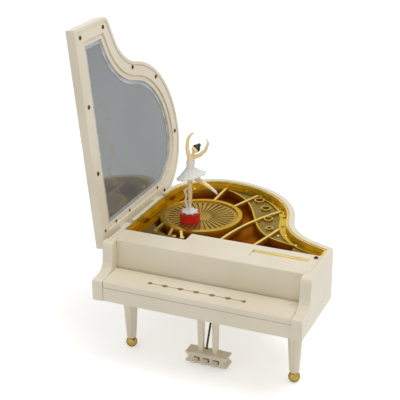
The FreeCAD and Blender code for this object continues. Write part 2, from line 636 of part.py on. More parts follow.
pocket(shell, bore, lug_places[1] - lug_places[0] + 40, up=True)
finish_lid(shell, "lid_shell")

band, ledge = S["lid_skin"] + gap, S["frame_band"] + S["frame_ledge"]
frame_low = lid_low + S["frame_drop"]
frame_top = lid_low + S["lid_thick"] - S["lid_skin"]
frame = new_body("lid_frame")
plan = sketch_on(frame, "XY", frame_low)
piano_outline(plan, *lid_inset(band))
pad(frame, plan, frame_top - frame_low)
step = sketch_on(frame, "XY", frame_low)
piano_outline(step, *lid_inset(S["frame_band"]))
pocket(frame, step, S["frame_step"], up=True)
window = sketch_on(frame, "XY", frame_low)
piano_outline(window, *lid_inset(ledge))
pocket(frame, window, frame_top - frame_low + 1, up=True)
seat = sketch_on(frame, "XY", frame_top)
piano_outline(seat, *lid_inset(ledge - 1.5))
pocket(frame, seat, S["mirror_thick"])
lug_room = sketch_on(frame, "XY", frame_low)
for lug_y in lug_places:
    reach = S["lug_length"] / 2 + gap
    rectangle(lug_room, -width / 2 - 2, lug_y - reach, pivot_x + S["lug_radius"] + gap, lug_y + reach)
pocket(frame, lug_room, S["lid_thick"], up=True)
finish_lid(frame, "lid_frame")

mirror = new_body("lid_mirror")
plan = sketch_on(mirror, "XY", frame_top - S["mirror_thick"])
piano_outline(plan, *lid_inset(ledge - 1.5 + gap))
pad(mirror, plan, S["mirror_thick"])
finish_lid(mirror, "lid_mirror")

screws = []
edge_x, edge_y = plain(width / 2 + S["lid_overhang"]), plain(S["key_depth"])
middle = plain(S["frame_band"] + band) / 2
corner_y = bends(-S["lid_overhang"])[-1].y
places = [(edge_x - middle, edge_y + middle + 1.0), (edge_x - middle, corner_y - middle)]
places += [from_tail(x, y) for x, y in ((63.9, -17.5), (48.2, 15.8), (0.5, 36.6), (-37.0, 8.5))]
places += [(23.0, edge_y + middle), (-22.5, edge_y + middle)]
for x, y in places:
    at = Vector(x, y, plain(frame_low))
    knob = Part.makeCylinder(plain(S["lid_screw"]), 0.3, at, Vector(0, 0, -1))
    screws.append(knob.cut(Part.makeBox(0.5, 2, 0.2, at - Vector(0.25, 1, 0.3))))
made = place(Part.makeCompound(screws), "lid_screws", open_turn, lid_shift.x, 0, lid_shift.z)

pins = []
for lug_y in lug_places:
    at = Vector(hinge.x, plain(lug_y) - 8, hinge.z)
    pins.append(Part.makeCylinder(plain(S["hinge_pin"]), 16, at, Vector(0, 1, 0)))
place(Part.makeCompound(pins), "hinge_pins")

# Three octagonal legs on pegs, with brass balls
foot_low = S["ball_drop"] - S["ball_radius"]


def octagon(across, z):
    r = across / 2 / math.cos(math.pi / 8)
    turns = [math.pi / 8 + i * math.pi / 4 for i in range(9)]
    return Part.makePolygon([Vector(r * math.cos(t), r * math.sin(t), z) for t in turns])


for name, (x, y) in zip(("left", "right", "rear"), leg_places):
    top, low, end = plain(S["leg_top"]), plain(S["leg_foot"]), -plain(S["leg_length"])
    rings = [octagon(top, 0), octagon(top, -2), octagon(low, end + 1.6), octagon(low - 2.4, end)]
    post = Part.makeLoft(rings, True, True)
    peg_at = Vector(0, plain(S["peg_shift"]), 0)
    peg = Part.makeCylinder(plain(S["peg_radius"]), plain(S["bottom_thick"]), peg_at)
    cup = Part.makeSphere(plain(S["ball_radius"]), Vector(0, 0, -plain(S["ball_drop"])))
    place(joined([post, peg]).cut(cup), "leg_" + name, None, x, y)
    ball = doc.addObject("Part::Sphere", "ball_" + name)
    bind(ball, "Radius", S["ball_radius"])
    bind(ball, "Angle1", -S["ball_flat"])
    finish(ball, "ball_foot_" + name, x, y, -S["ball_drop"])

# Pedal lyre
box = new_body("lyre_box")
plan = sketch_on(box, "XZ", -(S["lyre_front"] + S["lyre_depth"]))
x, top, low = S["lyre_width"] / 2, -S["lyre_top"], -(S["lyre_top"] + S["lyre_height"])
side = [(x, low), (x, low + 1.2), (x - 1.6, low + 2.0), (x - 2.2, low + 3.8)]
side += [(x - 1.6, top - 2.0), (x, top - 1.2), (x, top)]
polygon(plan, side + [(-px, pz) for px, pz in reversed(side)])
pad(box, plan, S["lyre_depth"])
finish(box, "lyre_box")
posts = new_body("lyre_posts")
mid = S["lyre_front"] + S["lyre_depth"] / 2
for spread in (-S["post_spread"], S["post_spread"]):
    plan = sketch_on(posts, "XZ", -(mid + S["post_depth"] / 2))
    w = S["post_width"] / 2
    under_cap = 0.5 - S["cap_height"]
    points = [(spread - w, top), (spread + w, top)]
    points += [(spread + w * 1.5, under_cap), (spread - w * 1.5, under_cap)]
    polygon(plan, points)
    pad(posts, plan, S["post_depth"])
cap = sketch_on(posts, "XY")
rectangle(cap, -S["cap_width"] / 2, mid - 3, S["cap_width"] / 2, mid + 3)
pad(posts, cap, S["cap_height"], back=True)
finish(posts, "lyre_posts")
pedals = []
for i in (-1, 0, 1):
    pedal_x = i * plain(S["pedal_pitch"]) - plain(S["pedal_width"]) / 2
    at = Vector(pedal_x, plain(S["lyre_front"] - S["pedal_reach"]), plain(low) + 2.6)
    block = Part.makeBox(plain(S["pedal_width"]), plain(S["pedal_reach"]), 1.8, at)
    pedals.append(block.makeFillet(0.7, [block.Edges[1], block.Edges[5]]))
place(Part.makeCompound(pedals), "pedals")
rods = []
for spread in (-1, 1):
    start_y = plain(S["lyre_front"] + S["lyre_depth"]) - 2.0
    start = Vector(spread * plain(S["post_spread"]) * 0.5, start_y, plain(top))
    end = Vector(start.x, plain(S["brace_foot"]), 0)
    room = Part.makeBox(60, 120, plain(S["lyre_top"]), Vector(-30, 0, plain(top)))
    rods.append(rod(start, end, plain(S["brace_radius"])).common(room))
place(Part.makeCompound(rods), "brace_rods")

# Dancer on a magnetic drum. Modelled about the drum's axis, standing at z = 0 on the rays
stand_z = S["tray_top"] + 0.02
drum_r, drum_h = plain(S["drum_radius"]), plain(S["drum_height"])
skin = plain(S["drum_wall"])
drum = Part.makeCylinder(drum_r, drum_h).cut(Part.makeCylinder(drum_r - skin, drum_h, Vector(0, 0, skin)))
place(drum, "figure_drum", None, figure_x, figure_y, stand_z)
rotor = Part.makeCylinder(drum_r - skin - 0.3, drum_h - skin - 0.6, Vector(0, 0, skin + 0.3))
place(rotor, "figure_magnet", None, figure_x, figure_y, stand_z)


def scalloped(radius, lobes, depth):
    points = []
    for i in range(lobes * 2):
        r = radius - (depth if i % 2 else 0)
        points.append(Vector(r * math.cos(math.pi * i / lobes), r * math.sin(math.pi * i / lobes), 0))
    curve = Part.BSplineCurve()
    curve.interpolate(points, PeriodicFlag=True)
    return Part.Wire([curve.toShape()])


pad_r, pad_t = plain(S["pad_radius"]), plain(S["pad_thick"])
flower = Part.Face(scalloped(pad_r, 8, 0.9)).extrude(Vector(0, 0, pad_t))
stem_low = drum_h - 0.3
flower.translate(Vector(0, 0, drum_h + 0.3))
neck = Part.makeCylinder(2.0, 0.6, Vector(0, 0, stem_low))
place(joined([flower, neck]), "figure_pad", None, figure_x, figure_y, stand_z)

grow = plain(S["figure_height"]) / 58.4
rise = drum_h + 0.3 + pad_t


def spot(x, y, z):
    return Vector(x * grow, y * grow, rise + z * grow)


def limb(points, radii):
    """A tapering limb through joints, rounded at each."""
    pieces = [Part.makeSphere(radii[0] * grow, spot(*points[0]))]
    for i in range(len(points) - 1):
        a, b = spot(*points[i]), spot(*points[i + 1])
        pieces.append(rod(a, b, radii[i] * grow, radii[i + 1] * grow))
        pieces.append(Part.makeSphere(radii[i + 1] * grow, b))
    return pieces


def stand_figure(shape, name):
    place(shape, name, None, figure_x, figure_y, stand_z)


toe = [rod(spot(0, 0, 0), spot(0, 0, 1.0), 0.8 * grow, 0.75 * grow)]
shoes = joined(toe + limb([(0, 0, 1.0), (0.1, 0.1, 3.4), (0.2, 0.1, 6.4)], [0.75, 0.95, 1.12]))
shoes = [shoes, joined(limb([(14.6, 4.4, 17.0), (17.0, 5.0, 14.8), (18.2, 5.3, 13.4)], [1.12, 0.95, 0.5]))]
shoes = Part.makeCompound(shoes)
trunk = limb([(0.8, 0, 27.2), (0.6, 0, 31.2), (1.0, -0.1, 36.0), (1.2, -0.1, 38.2)], [3.3, 2.45, 3.0, 2.7])
flesh = [Part.makeSphere(2.35 * grow, spot(1.3, -0.1, 39.2))]
raised_arm = [(-0.2, 0, 39.8), (-1.5, -0.2, 46.4), (-0.7, -0.3, 52.6), (1.2, -0.3, 56.0), (3.6, -0.4, 57.9)]
side_arm = [(2.6, 0, 39.6), (8.0, -0.3, 42.4), (12.2, -0.5, 46.4), (14.4, -0.6, 52.0), (13.4, -0.8, 54.6)]
flesh += limb(raised_arm, [1.55, 1.3, 1.05, 0.8, 0.45])
flesh += limb(side_arm, [1.55, 1.35, 1.15, 0.85, 0.45])
flesh += limb([(1.4, -0.1, 39.6), (3.6, -0.4, 43.8)], [1.15, 1.0])
head_mid = spot(4.8, -0.6, 46.2)
nose_at = head_mid + Vector(-0.9, -2.4, -0.1) * grow
flesh += [Part.makeSphere(2.6 * grow, head_mid), Part.makeSphere(0.42 * grow, nose_at)]
flesh = joined(flesh)
face_room = Part.makeSphere(2.75 * grow, spot(3.9, -2.2, 45.0))
crown = Part.makeSphere(2.8 * grow, spot(5.2, 0.1, 46.7)).cut(face_room)
hair = joined([crown, Part.makeSphere(1.35 * grow, spot(6.9, 0.8, 49.0))]).cut(flesh)
bodice = joined(trunk).cut(flesh)
hem = scalloped(10.8 * grow, 11, 1.0 * grow)
hem.rotate(Vector(), Vector(0, 1, 0), -15)
hem.translate(spot(1.4, 0, 25.8))
hem_top = hem.copy()
hem_top.translate(Vector(0, 0, 0.7 * grow))
flare = Part.Wire([Part.makeCircle(6.6 * grow, spot(1.1, 0, 29.0), Vector(-0.2, 0, 1))])
waist = Part.Wire([Part.makeCircle(2.8 * grow, spot(0.7, 0, 32.4))])
skirt = Part.makeLoft([hem_top, flare, waist], True, False)
skirt = skirt.fuse(Part.makeLoft([hem, hem_top], True, True)).removeSplitter()
skirt = skirt.cut(bodice)
legs = limb([(0.2, 0.1, 6.4), (0.4, 0.2, 12.6), (0.2, 0.1, 19.0), (0.4, 0, 26.6)], [1.12, 1.45, 1.6, 2.1])
raised_leg = [(2.2, 0.6, 26.4), (6.6, 2.0, 22.6), (12.2, 3.7, 18.9), (14.6, 4.4, 17.0)]
legs += limb(raised_leg, [2.1, 1.75, 1.3, 1.12])
legs = joined(legs).cut(shoes).cut(bodice).cut(skirt)
scarf = [(-2.9, 0, 0), (-1.9, -0.2, 3.2), (-3.5, 0, 6.6)]
scarf += [(-2.3, 0.2, 10.4), (-3.8, 0, 14.2), (-1.0, 0.1, 17.2)]
scarf = joined(limb(scarf, [0.85, 0.7, 0.8, 0.7, 0.8, 0.6])).cut(legs)
scarf = scarf.common(Part.makeBox(40, 40, 80, Vector(-20, -20, rise)))
stand_figure(flesh, "dancer_arms_head")
stand_figure(bodice, "dancer_bodice")
stand_figure(hair, "dancer_hair")
stand_figure(legs, "dancer_legs")
stand_figure(skirt, "dancer_tutu")
stand_figure(shoes, "dancer_slippers")
stand_figure(scarf, "dancer_scarf")

# Movement under the tray: bed, spring barrel, take-off wheel with the drive magnet, tune drum, comb, governor


def wheel(teeth, turn):
    """A toothed disc with roomy teeth, so that two of them run without touching."""
    module = plain(S["wheel_module"])
    pitch_r = teeth * module / 2
    root_r, tip_r = pitch_r - 1.1 * module, pitch_r + 0.75 * module
    points = []
    for i in range(teeth):
        for share, r in ((-0.34, root_r), (-0.12, tip_r), (0.12, tip_r), (0.34, root_r)):
            t = 2 * math.pi * (i + share + turn) / teeth
            points.append(Vector(r * math.cos(t), r * math.sin(t), 0))
    return Part.Face(Part.makePolygon(points + points[:1])).extrude(Vector(0, 0, plain(S["wheel_thick"])))


floor = plain(S["bottom_thick"])
bed_top = floor + plain(S["bed_thick"])
bx, by = plain(barrel_x), plain(barrel_y)
fx, fy = plain(figure_x), plain(figure_y)
BED_SCREWS = [(fx - 7, by + 14), (bx + 37.4, by - 17), (bx + 34, by + 14)]
bed = Part.makeBox(66, 38, bed_top - floor, Vector(fx - 11, by - 20, floor))
for x, y in BED_SCREWS:
    bed = bed.cut(Part.makeCylinder(1.0 + plain(S["bore_gap"]), 10, Vector(x, y, 0)))
bed = bed.cut(Part.makeCylinder(plain(S["arbor_radius"]) + 0.6, 10, Vector(bx, by, 0)))
bed = bed.fuse(Part.makeCylinder(1.2, 3.4, Vector(fx, fy, bed_top))).removeSplitter()
place(bed, "movement_bed")
barrel_low = bed_top + 0.4
toward = math.atan2(fy - by, fx - bx)
teeth, small = int(plain(S["wheel_teeth"])), int(plain(S["pinion_teeth"]))
big = wheel(teeth, 0)
big.rotate(Vector(), Vector(0, 0, 1), math.degrees(toward))
can_at = Vector(0, 0, plain(S["wheel_thick"]))
can = Part.makeCylinder(plain(S["barrel_radius"]), plain(S["barrel_height"]), can_at)
room_r, room_h = plain(S["barrel_radius"]) - 0.8, plain(S["barrel_height"]) - 1.6
hollow = Part.makeCylinder(room_r, room_h, Vector(0, 0, plain(S["wheel_thick"]) + 0.8))
eye = Part.makeCylinder(plain(S["arbor_radius"]) + 0.05, 40, Vector(0, 0, -5))
crown = []
for i in range(30):
    tooth_at = Vector(8.0, -0.35, plain(S["wheel_thick"] + S["barrel_height"]) - 0.2)
    tooth = Part.makeBox(2.0, 0.7, 0.9, tooth_at)
    tooth.rotate(Vector(), Vector(0, 0, 1), 12.0 * i)
    crown.append(tooth)
barrel = joined([big, can]).multiFuse(crown).cut(hollow).cut(eye)
place(barrel, "spring_barrel", None, barrel_x, barrel_y, barrel_low)
reach = math.hypot(fx - bx, fy - by)
carrier = wheel(small, 0.5)
carrier.rotate(Vector(), Vector(0, 0, 1), math.degrees(toward) + 180)
shaft_top = plain(tray_bottom) - 0.6 - plain(S["magnet_thick"])
stalk = Part.makeCylinder(2.4, shaft_top - barrel_low)
plate = Part.makeCylinder(6.5, 1.2, Vector(0, 0, shaft_top - barrel_low - 1.2))
pivot = Part.makeCylinder(1.25, bed_top + 4.5 - barrel_low, Vector(0, 0, -1))
take_off = joined([carrier, stalk, plate]).cut(pivot)
place(take_off, "take_off_wheel", None, figure_x, figure_y, barrel_low)
puck = Part.makeCylinder(plain(S["magnet_radius"]), plain(S["magnet_thick"]))
place(puck, "drive_magnet", None, figure_x, figure_y, shaft_top)
arbor_top = barrel_low + plain(S["wheel_thick"] + S["barrel_height"])
drop = plain(S["key_drop"])
stem = Part.makeCylinder(plain(S["arbor_radius"]), arbor_top + drop, Vector(0, 0, -drop))
boss = Part.makeCylinder(2.6, drop - 2.0, Vector(0, 0, -drop))
wing = Part.makeBox(plain(S["key_wing"]), 2.4, drop - 4.0, Vector(-plain(S["key_wing"]) / 2, -1.2, -drop))
wing = wing.makeFillet(3.0, [wing.Edges[i] for i in (1, 3, 5, 7)])
place(joined([stem, boss, wing]), "winding_key", None, barrel_x, barrel_y)
spring_r = plain(S["barrel_radius"]) - 1.0
coil_low = barrel_low + plain(S["wheel_thick"]) + 1.2
ribbon = Part.makeCylinder(spring_r, plain(S["barrel_height"]) - 2.6, Vector(0, 0, coil_low))
ribbon = ribbon.cut(Part.makeCylinder(spring_r - 3.0, 40))
place(ribbon, "mainspring", None, barrel_x, barrel_y)

drum_z = arbor_top + plain(S["tune_pinion"]) + 1.0
tune_low, tune_r = bx + 15.4, plain(S["tune_radius"])
along = Vector(1, 0, 0)
tube = Part.makeCylinder(tune_r, plain(S["tune_length"]), Vector(tune_low, by, drum_z), along)
bore_at = Vector(tune_low + 0.6, by, drum_z)
bore = Part.makeCylinder(tune_r - 0.6, plain(S["tune_length"]) - 1.2, bore_at, along)
pieces = [tube.cut(bore)]
pieces.append(Part.makeCylinder(0.9, plain(S["tune_length"]) + 12.9, Vector(bx + 5.5, by, drum_z), along))
pieces.append(Part.makeCylinder(plain(S["tune_pinion"]), 2.2, Vector(bx + 7.8, by, drum_z), along))
for i in range(18):
    peg = Part.makeCylinder(0.25, 0.4, Vector(0, 0, tune_r - 0.1))
    peg.rotate(Vector(), along, i * 137.5)
    peg.translate(Vector(tune_low + 1.5 + i * (plain(S["tune_length"]) - 3) / 17, by, drum_z))
    pieces.append(peg)
place(pieces[0].multiFuse(pieces[1:]).removeSplitter(), "tune_drum")
bearings = []
for x in (bx + 13.4, tune_low + plain(S["tune_length"]) + 1.0):
    block = Part.makeBox(1.4, 4.0, drum_z + 1.6 - bed_top, Vector(x, by - 2.0, bed_top))
    eye = Part.makeCylinder(0.9 + plain(S["bore_gap"]), 10, Vector(x - 4, by, drum_z), along)
    bearings.append(block.cut(eye))
place(Part.makeCompound(bearings), "drum_bearings")
comb_x, comb_w = tune_low + 0.5, plain(S["tune_length"]) - 1
comb_back, comb_tip = by - 20.0, by - tune_r - 0.9
rest = Part.makeBox(comb_w, 7.0, drum_z - 0.6 - bed_top, Vector(comb_x, comb_back, bed_top))
place(rest, "comb_block")
comb_at = Vector(comb_x, comb_back, drum_z - 0.6)
comb = Part.makeBox(comb_w, comb_tip - comb_back, plain(S["comb_thick"]), comb_at)
for i in range(1, 18):
    gash_x = comb_x + i * comb_w / 18 - 0.15
    gash = Part.makeBox(0.3, comb_tip - comb_back - 7.4, 4, Vector(gash_x, comb_back + 7.4, drum_z - 2))
    comb = comb.cut(gash)
place(comb, "tone_comb")
comb_top = drum_z - 0.6 + plain(S["comb_thick"])
comb_screws = [Vector(comb_x + share * comb_w, comb_back + 3.2, comb_top) for share in (0.2, 0.8)]
heads = [Part.makeCylinder(1.4, 0.9, at) for at in comb_screws]
place(Part.makeCompound(heads), "comb_screws")
governor = Part.makeBox(9.0, 8.0, 9.0, Vector(bx + 15, by + 7.0, bed_top))
governor = governor.fuse(Part.makeCylinder(1.6, 2.4, Vector(bx + 19.5, by + 11.0, bed_top + 9.0)))
place(governor.removeSplitter(), "speed_governor")
heads = []
for x, y in BED_SCREWS:
    cap = Part.makeCylinder(1.9, 1.0, Vector(x, y, bed_top))
    heads.append(cap.fuse(Part.makeCylinder(1.0, bed_top - floor, Vector(x, y, floor))).removeSplitter())
place(Part.makeCompound(heads), "bed_screws")
heads = []
for x, y in boss_places:
    cap = Part.makeCylinder(2.4, 0.9, Vector(plain(x), plain(y), -0.9))
    shank = Part.makeCylinder(0.95, 11.0, Vector(plain(x), plain(y), -0.1))
    heads.append(cap.fuse(shank).removeSplitter())
place(Part.makeCompound(heads), "bottom_screws")

doc.recompute()
for thing in doc.Objects:
    if "Invalid" in thing.State or "Error" in thing.State:
        raise ValueError("failed: %s %s" % (thing.Name, thing.State))
for thing in PARTS:
    if thing.Shape.isNull() or not thing.Shape.isValid() or not thing.Shape.Solids:
        raise ValueError("bad shape: " + thing.Label)
os.makedirs("parts", exist_ok=True)
for thing in PARTS:
    thing.Shape.exportStep("parts/%s.step" % thing.Label)
    box = thing.Shape.BoundBox
    print("%-18s %2d solids  x %7.2f %7.2f  y %7.2f %7.2f  z %7.2f %7.2f" % (
        thing.Label, len(thing.Shape.Solids), box.XMin, box.XMax, box.YMin, box.YMax, box.ZMin, box.ZMax))
whole = Part.makeCompound([p.Shape for p in PARTS]).BoundBox
print("all", whole)
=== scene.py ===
# %% [markdown]
# A grand-piano music box, dressed for a studio picture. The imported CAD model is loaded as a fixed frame,
# and every node in it gets a finish that is named for the real one. A few small things that a solid can't
# carry well are added after that: the mirror's frosted border, the dancer's face, the screws by the lid's
# hinge, more studs on the tray, and a gilt bead in the rail's slot.

# %% Load the CAD frame
import json
import math

import bmesh
import bpy
from mathutils import Matrix, Vector


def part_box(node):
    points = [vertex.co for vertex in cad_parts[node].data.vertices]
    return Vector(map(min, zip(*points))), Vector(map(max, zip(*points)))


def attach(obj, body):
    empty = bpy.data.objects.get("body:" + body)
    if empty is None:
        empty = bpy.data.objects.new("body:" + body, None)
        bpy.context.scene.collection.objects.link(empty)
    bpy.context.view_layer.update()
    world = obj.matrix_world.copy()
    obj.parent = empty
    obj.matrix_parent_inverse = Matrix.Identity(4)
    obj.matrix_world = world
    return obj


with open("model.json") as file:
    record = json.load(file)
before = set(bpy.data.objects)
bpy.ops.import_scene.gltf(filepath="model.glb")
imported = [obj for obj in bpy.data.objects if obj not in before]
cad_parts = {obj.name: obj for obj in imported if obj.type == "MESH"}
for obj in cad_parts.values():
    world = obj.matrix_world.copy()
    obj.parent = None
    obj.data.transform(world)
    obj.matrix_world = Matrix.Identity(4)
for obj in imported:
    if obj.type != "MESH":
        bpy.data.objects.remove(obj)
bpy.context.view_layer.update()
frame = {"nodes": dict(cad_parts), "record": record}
nodes = frame["nodes"]
print("nodes loaded:", len(nodes))

# %% [markdown]
# Colours are written as the sRGB hex values that one would read off a sample card, and turned to linear
# light once. One helper adds a shader node with its settings and links. A pattern's scale is worked out
# from a real length in millimetres, because a texture of scale 1 repeats about once in a metre.

# %% Helpers for colours and node trees
MM = 0.001


def linear(hex_colour):
    """sRGB hex to the linear RGBA that shader sockets take."""
    out = []
    for i in (0, 2, 4):
        c = int(hex_colour[i:i + 2], 16) / 255
        out.append(c / 12.92 if c <= 0.04045 else ((c + 0.055) / 1.055) ** 2.4)
    return (*out, 1.0)


def add(tree, kind, inputs=None, stops=None, **settings):
    """Adds one node with its settings and links.

    An input is a value, a socket, or a node whose first output is meant. A stop's colour is a hex value or
    a grey number.
    """
    node = tree.nodes.new("ShaderNode" + kind)
    for name, value in settings.items():
        setattr(node, name, value)
    for name, value in (inputs or {}).items():
        if isinstance(value, bpy.types.Node):
            value = value.outputs[0]
        if isinstance(value, bpy.types.NodeSocket):
            tree.links.new(value, node.inputs[name])
        else:
            node.inputs[name].default_value = value
    for i, (place, colour) in enumerate(stops or []):
        row = node.color_ramp.elements
        stop = row[i] if i < 2 else row.new(place)
        stop.position = place
        stop.color = linear(colour) if isinstance(colour, str) else (colour, colour, colour, 1.0)
    return node


def per_mm(size_mm):
    """Texture scale for a pattern whose cells are this many millimetres across."""
    return 1000.0 / size_mm


def surface(name, **sockets):
    """A new Principled material, and the object coordinates, in metres, that its pattern reads."""
    made = bpy.data.materials.new(name)
    made.use_nodes = True
    tree = made.node_tree
    tree.nodes.clear()
    shader = add(tree, "BsdfPrincipled", sockets)
    add(tree, "OutputMaterial", {"Surface": shader})
    place = add(tree, "TexCoord").outputs["Object"]
    return made, tree, shader, place


def uneven_gloss(tree, shader, place, size_mm, low, high, bump, depth_mm=0.03):
    """Gloss that wanders between two roughness values, with a fine bump of the same grain."""
    grain = add(tree, "TexNoise", {"Vector": place, "Scale": per_mm(size_mm), "Detail": 3.0})
    gloss = add(tree, "MapRange", {"Value": grain, "To Min": low, "To Max": high})
    tree.links.new(gloss.outputs["Result"], shader.inputs["Roughness"])
    lift = add(tree, "Bump", {"Height": grain, "Strength": bump, "Distance": depth_mm * MM})
    tree.links.new(lift.outputs["Normal"], shader.inputs["Normal"])


# %% [markdown]
# The case is glossy injection-moulded ABS. The eye sees a warm ivory, a slight waviness from the mould, and
# a soft shine that picks up the studio. A flat colour would look like card, so the colour drifts a little
# over about 40 mm, as a thick moulding's does, and the gloss wanders over 9 mm.

# %% Ivory ABS


def ivory_abs(name):
    """The case's ivory, and the socket that carries its colour, so that a print can lie over it."""
    made, tree, shader, place = surface(name, **{"IOR": 1.52, "Coat Weight": 0.15, "Coat Roughness": 0.12})
    drift = add(tree, "TexNoise", {"Vector": place, "Scale": per_mm(40), "Detail": 2.0})
    tint = add(tree, "ValToRGB", {"Fac": drift}, [(0.3, "E0D5BC"), (0.7, "E7DDC7")])
    tree.links.new(tint.outputs["Color"], shader.inputs["Base Color"])
    uneven_gloss(tree, shader, place, size_mm=9.0, low=0.29, high=0.38, bump=0.05)
    return made, tree, shader, place, tint.outputs["Color"]


ivory = ivory_abs("ivory ABS, glossy moulded")[0]
print("made", ivory.name)

# %% [markdown]
# A gilt ornament is printed on the fallboard: a row of lozenges on a thin line. It could be cut as
# geometry, but print has no thickness, so the shader draws it from the board's own X and Y. A lozenge is
# where the distance across, and a share of the distance along, add up to less than its half height.

# %% Fallboard with a gilt line
LINE_HALF, LINE_SHIFT, LINE_IN, HAIRLINE_HALF = 34.0 * MM, -2.0 * MM, 8.6 * MM, 0.3 * MM
LOZENGE_HALF_PITCH, LOZENGE_HALF_HEIGHT, LOZENGE_SHARE = 5.5 * MM, 1.7 * MM, 0.55
board_low, board_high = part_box("fallboard")
board_middle = (board_low + board_high) / 2
printed_ivory, tree, shader, place, plain_tint = ivory_abs("ivory ABS with gilt print")
axes = add(tree, "SeparateXYZ", {"Vector": place})
along = add(tree, "Math", {0: axes.outputs["X"], 1: board_middle.x + LINE_SHIFT}, operation="SUBTRACT")
across = add(tree, "Math", {0: axes.outputs["Y"], 1: board_low.y + LINE_IN}, operation="SUBTRACT")
off_line = add(tree, "Math", {0: across}, operation="ABSOLUTE")
cell = add(tree, "Math", {0: along, 1: LOZENGE_HALF_PITCH}, operation="PINGPONG")
reach = add(tree, "Math", {0: cell, 1: LOZENGE_SHARE, 2: off_line}, operation="MULTIPLY_ADD")
lozenge = add(tree, "Math", {0: reach, 1: LOZENGE_HALF_HEIGHT}, operation="LESS_THAN")
hairline = add(tree, "Math", {0: off_line, 1: HAIRLINE_HALF}, operation="LESS_THAN")
drawn = add(tree, "Math", {0: lozenge, 1: hairline}, operation="MAXIMUM")
from_middle = add(tree, "Math", {0: along}, operation="ABSOLUTE")
inside = add(tree, "Math", {0: from_middle, 1: LINE_HALF}, operation="LESS_THAN")
gilding = add(tree, "Math", {0: drawn, 1: inside}, operation="MULTIPLY")
both = add(tree, "Mix", {0: gilding, 6: plain_tint, 7: linear("84703E")}, data_type="RGBA")
tree.links.new(both.outputs[2], shader.inputs["Base Color"])
print("gilt line on a board of", round((board_high.x - board_low.x) / MM), "mm")

# %% [markdown]
# The pedals come out of three narrow slots in the lyre's box. The slots are too shallow to be worth
# cutting, and what the eye sees of them is the shade in them, a dark edge beside and above each pedal, so
# the shader paints that shade on the box's front there.

# %% Lyre box with painted slot shade
pedals_low, pedals_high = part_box("pedals")
pedals_middle = (pedals_low + pedals_high) / 2
PEDAL_PITCH, PEDAL_WIDTH, PEDALS = 7.0 * MM, 3.4 * MM, 3
SLOT_SHIFT, SLOT_GAP, SLOT_RISE = 0.4 * MM, 0.5 * MM, 0.1 * MM
SLOT_HALF_HEIGHT, FRONT_DEPTH = 1.4 * MM, 1.5 * MM
ivory_with_painted_slot_shade, tree, shader, place, plain_tint = ivory_abs("ivory ABS with painted slot shade")
axes = add(tree, "SeparateXYZ", {"Vector": place})
from_left = add(tree, "Math", {
    0: axes.outputs["X"], 1: pedals_low.x + PEDAL_WIDTH / 2}, operation="SUBTRACT")
step = add(tree, "Math", {0: from_left, 1: PEDAL_PITCH / 2}, operation="ADD")
step = add(tree, "Math", {0: step, 1: PEDAL_PITCH}, operation="FLOORED_MODULO")
from_pedal = add(tree, "Math", {0: step, 1: PEDAL_PITCH / 2}, operation="SUBTRACT")
beside = add(tree, "Math", {
    0: from_pedal, 1: SLOT_SHIFT, 2: PEDAL_WIDTH / 2 + SLOT_GAP}, operation="COMPARE")
from_middle = add(tree, "Math", {0: axes.outputs["X"], 1: pedals_middle.x}, operation="SUBTRACT")
from_middle = add(tree, "Math", {0: from_middle}, operation="ABSOLUTE")
in_row = add(tree, "Math", {0: from_middle, 1: PEDALS * PEDAL_PITCH / 2}, operation="LESS_THAN")
slot_shade_height = add(tree, "Math", {
    0: axes.outputs["Z"], 1: pedals_middle.z + SLOT_RISE, 2: SLOT_HALF_HEIGHT}, operation="COMPARE")
slot = add(tree, "Math", {0: beside, 1: in_row}, operation="MULTIPLY")
slot = add(tree, "Math", {0: slot, 1: slot_shade_height}, operation="MULTIPLY")
at_front = add(tree, "Math", {0: axes.outputs["Y"], 1: pedals_high.y + FRONT_DEPTH}, operation="LESS_THAN")
slot = add(tree, "Math", {0: slot, 1: at_front}, operation="MULTIPLY")
# Painted shade: a dark edge beside and above each pedal, where the slots lie in shadow.
both = add(tree, "Mix", {0: slot, 6: plain_tint, 7: linear("4E4028")}, data_type="RGBA")
tree.links.new(both.outputs[2], shader.inputs["Base Color"])
print("pedal slots at", round(pedals_low.z / MM, 1), "mm up")

# %% [markdown]
# The harp tray is moulded plastic with a vacuum-deposited metal film under amber lacquer. The raised bars
# and the bead are polished, and their tops are painted a paler gold than the film, which is painted
# highlight. The sunken web is matted to an olive gold, and the wells and the low parts of the walls are
# painted a dark amber, which is painted shade, because light reaches them only by bouncing. Height tells
# these apart, so the shader reads the object's own Z. The ring round the stage is as high as the bars but a
# deeper gold, so it is told apart by its distance from the stage's middle. The upright walls pass through
# every height and have a ramp of their own, and the film is thinner there, so less of them is metal. The
# lacquer also tints the edge reflection, which is the shader's Specular Tint.

# %% Metallised gold tray
tray_low, tray_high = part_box("gold_tray")
WELL_MM, LIP_MM, RAISED_MM = -6.0, 3.2, 0.3
TRAY_TOP = tray_high.z - LIP_MM * MM
SPINE_WIDTH, RING_WIDTH = 10 * MM, 3.6 * MM
stage_low, stage_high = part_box("stage_disc")
stage_at = (stage_low + stage_high) / 2
RING_REACH = (stage_high.x - stage_low.x) / 2 + RING_WIDTH
LEVEL_ENOUGH = 0.5


def level(height_mm):
    """A height over the tray's top face, as a share of the way from the wells to the lip."""
    return (height_mm - WELL_MM) / (LIP_MM - WELL_MM)


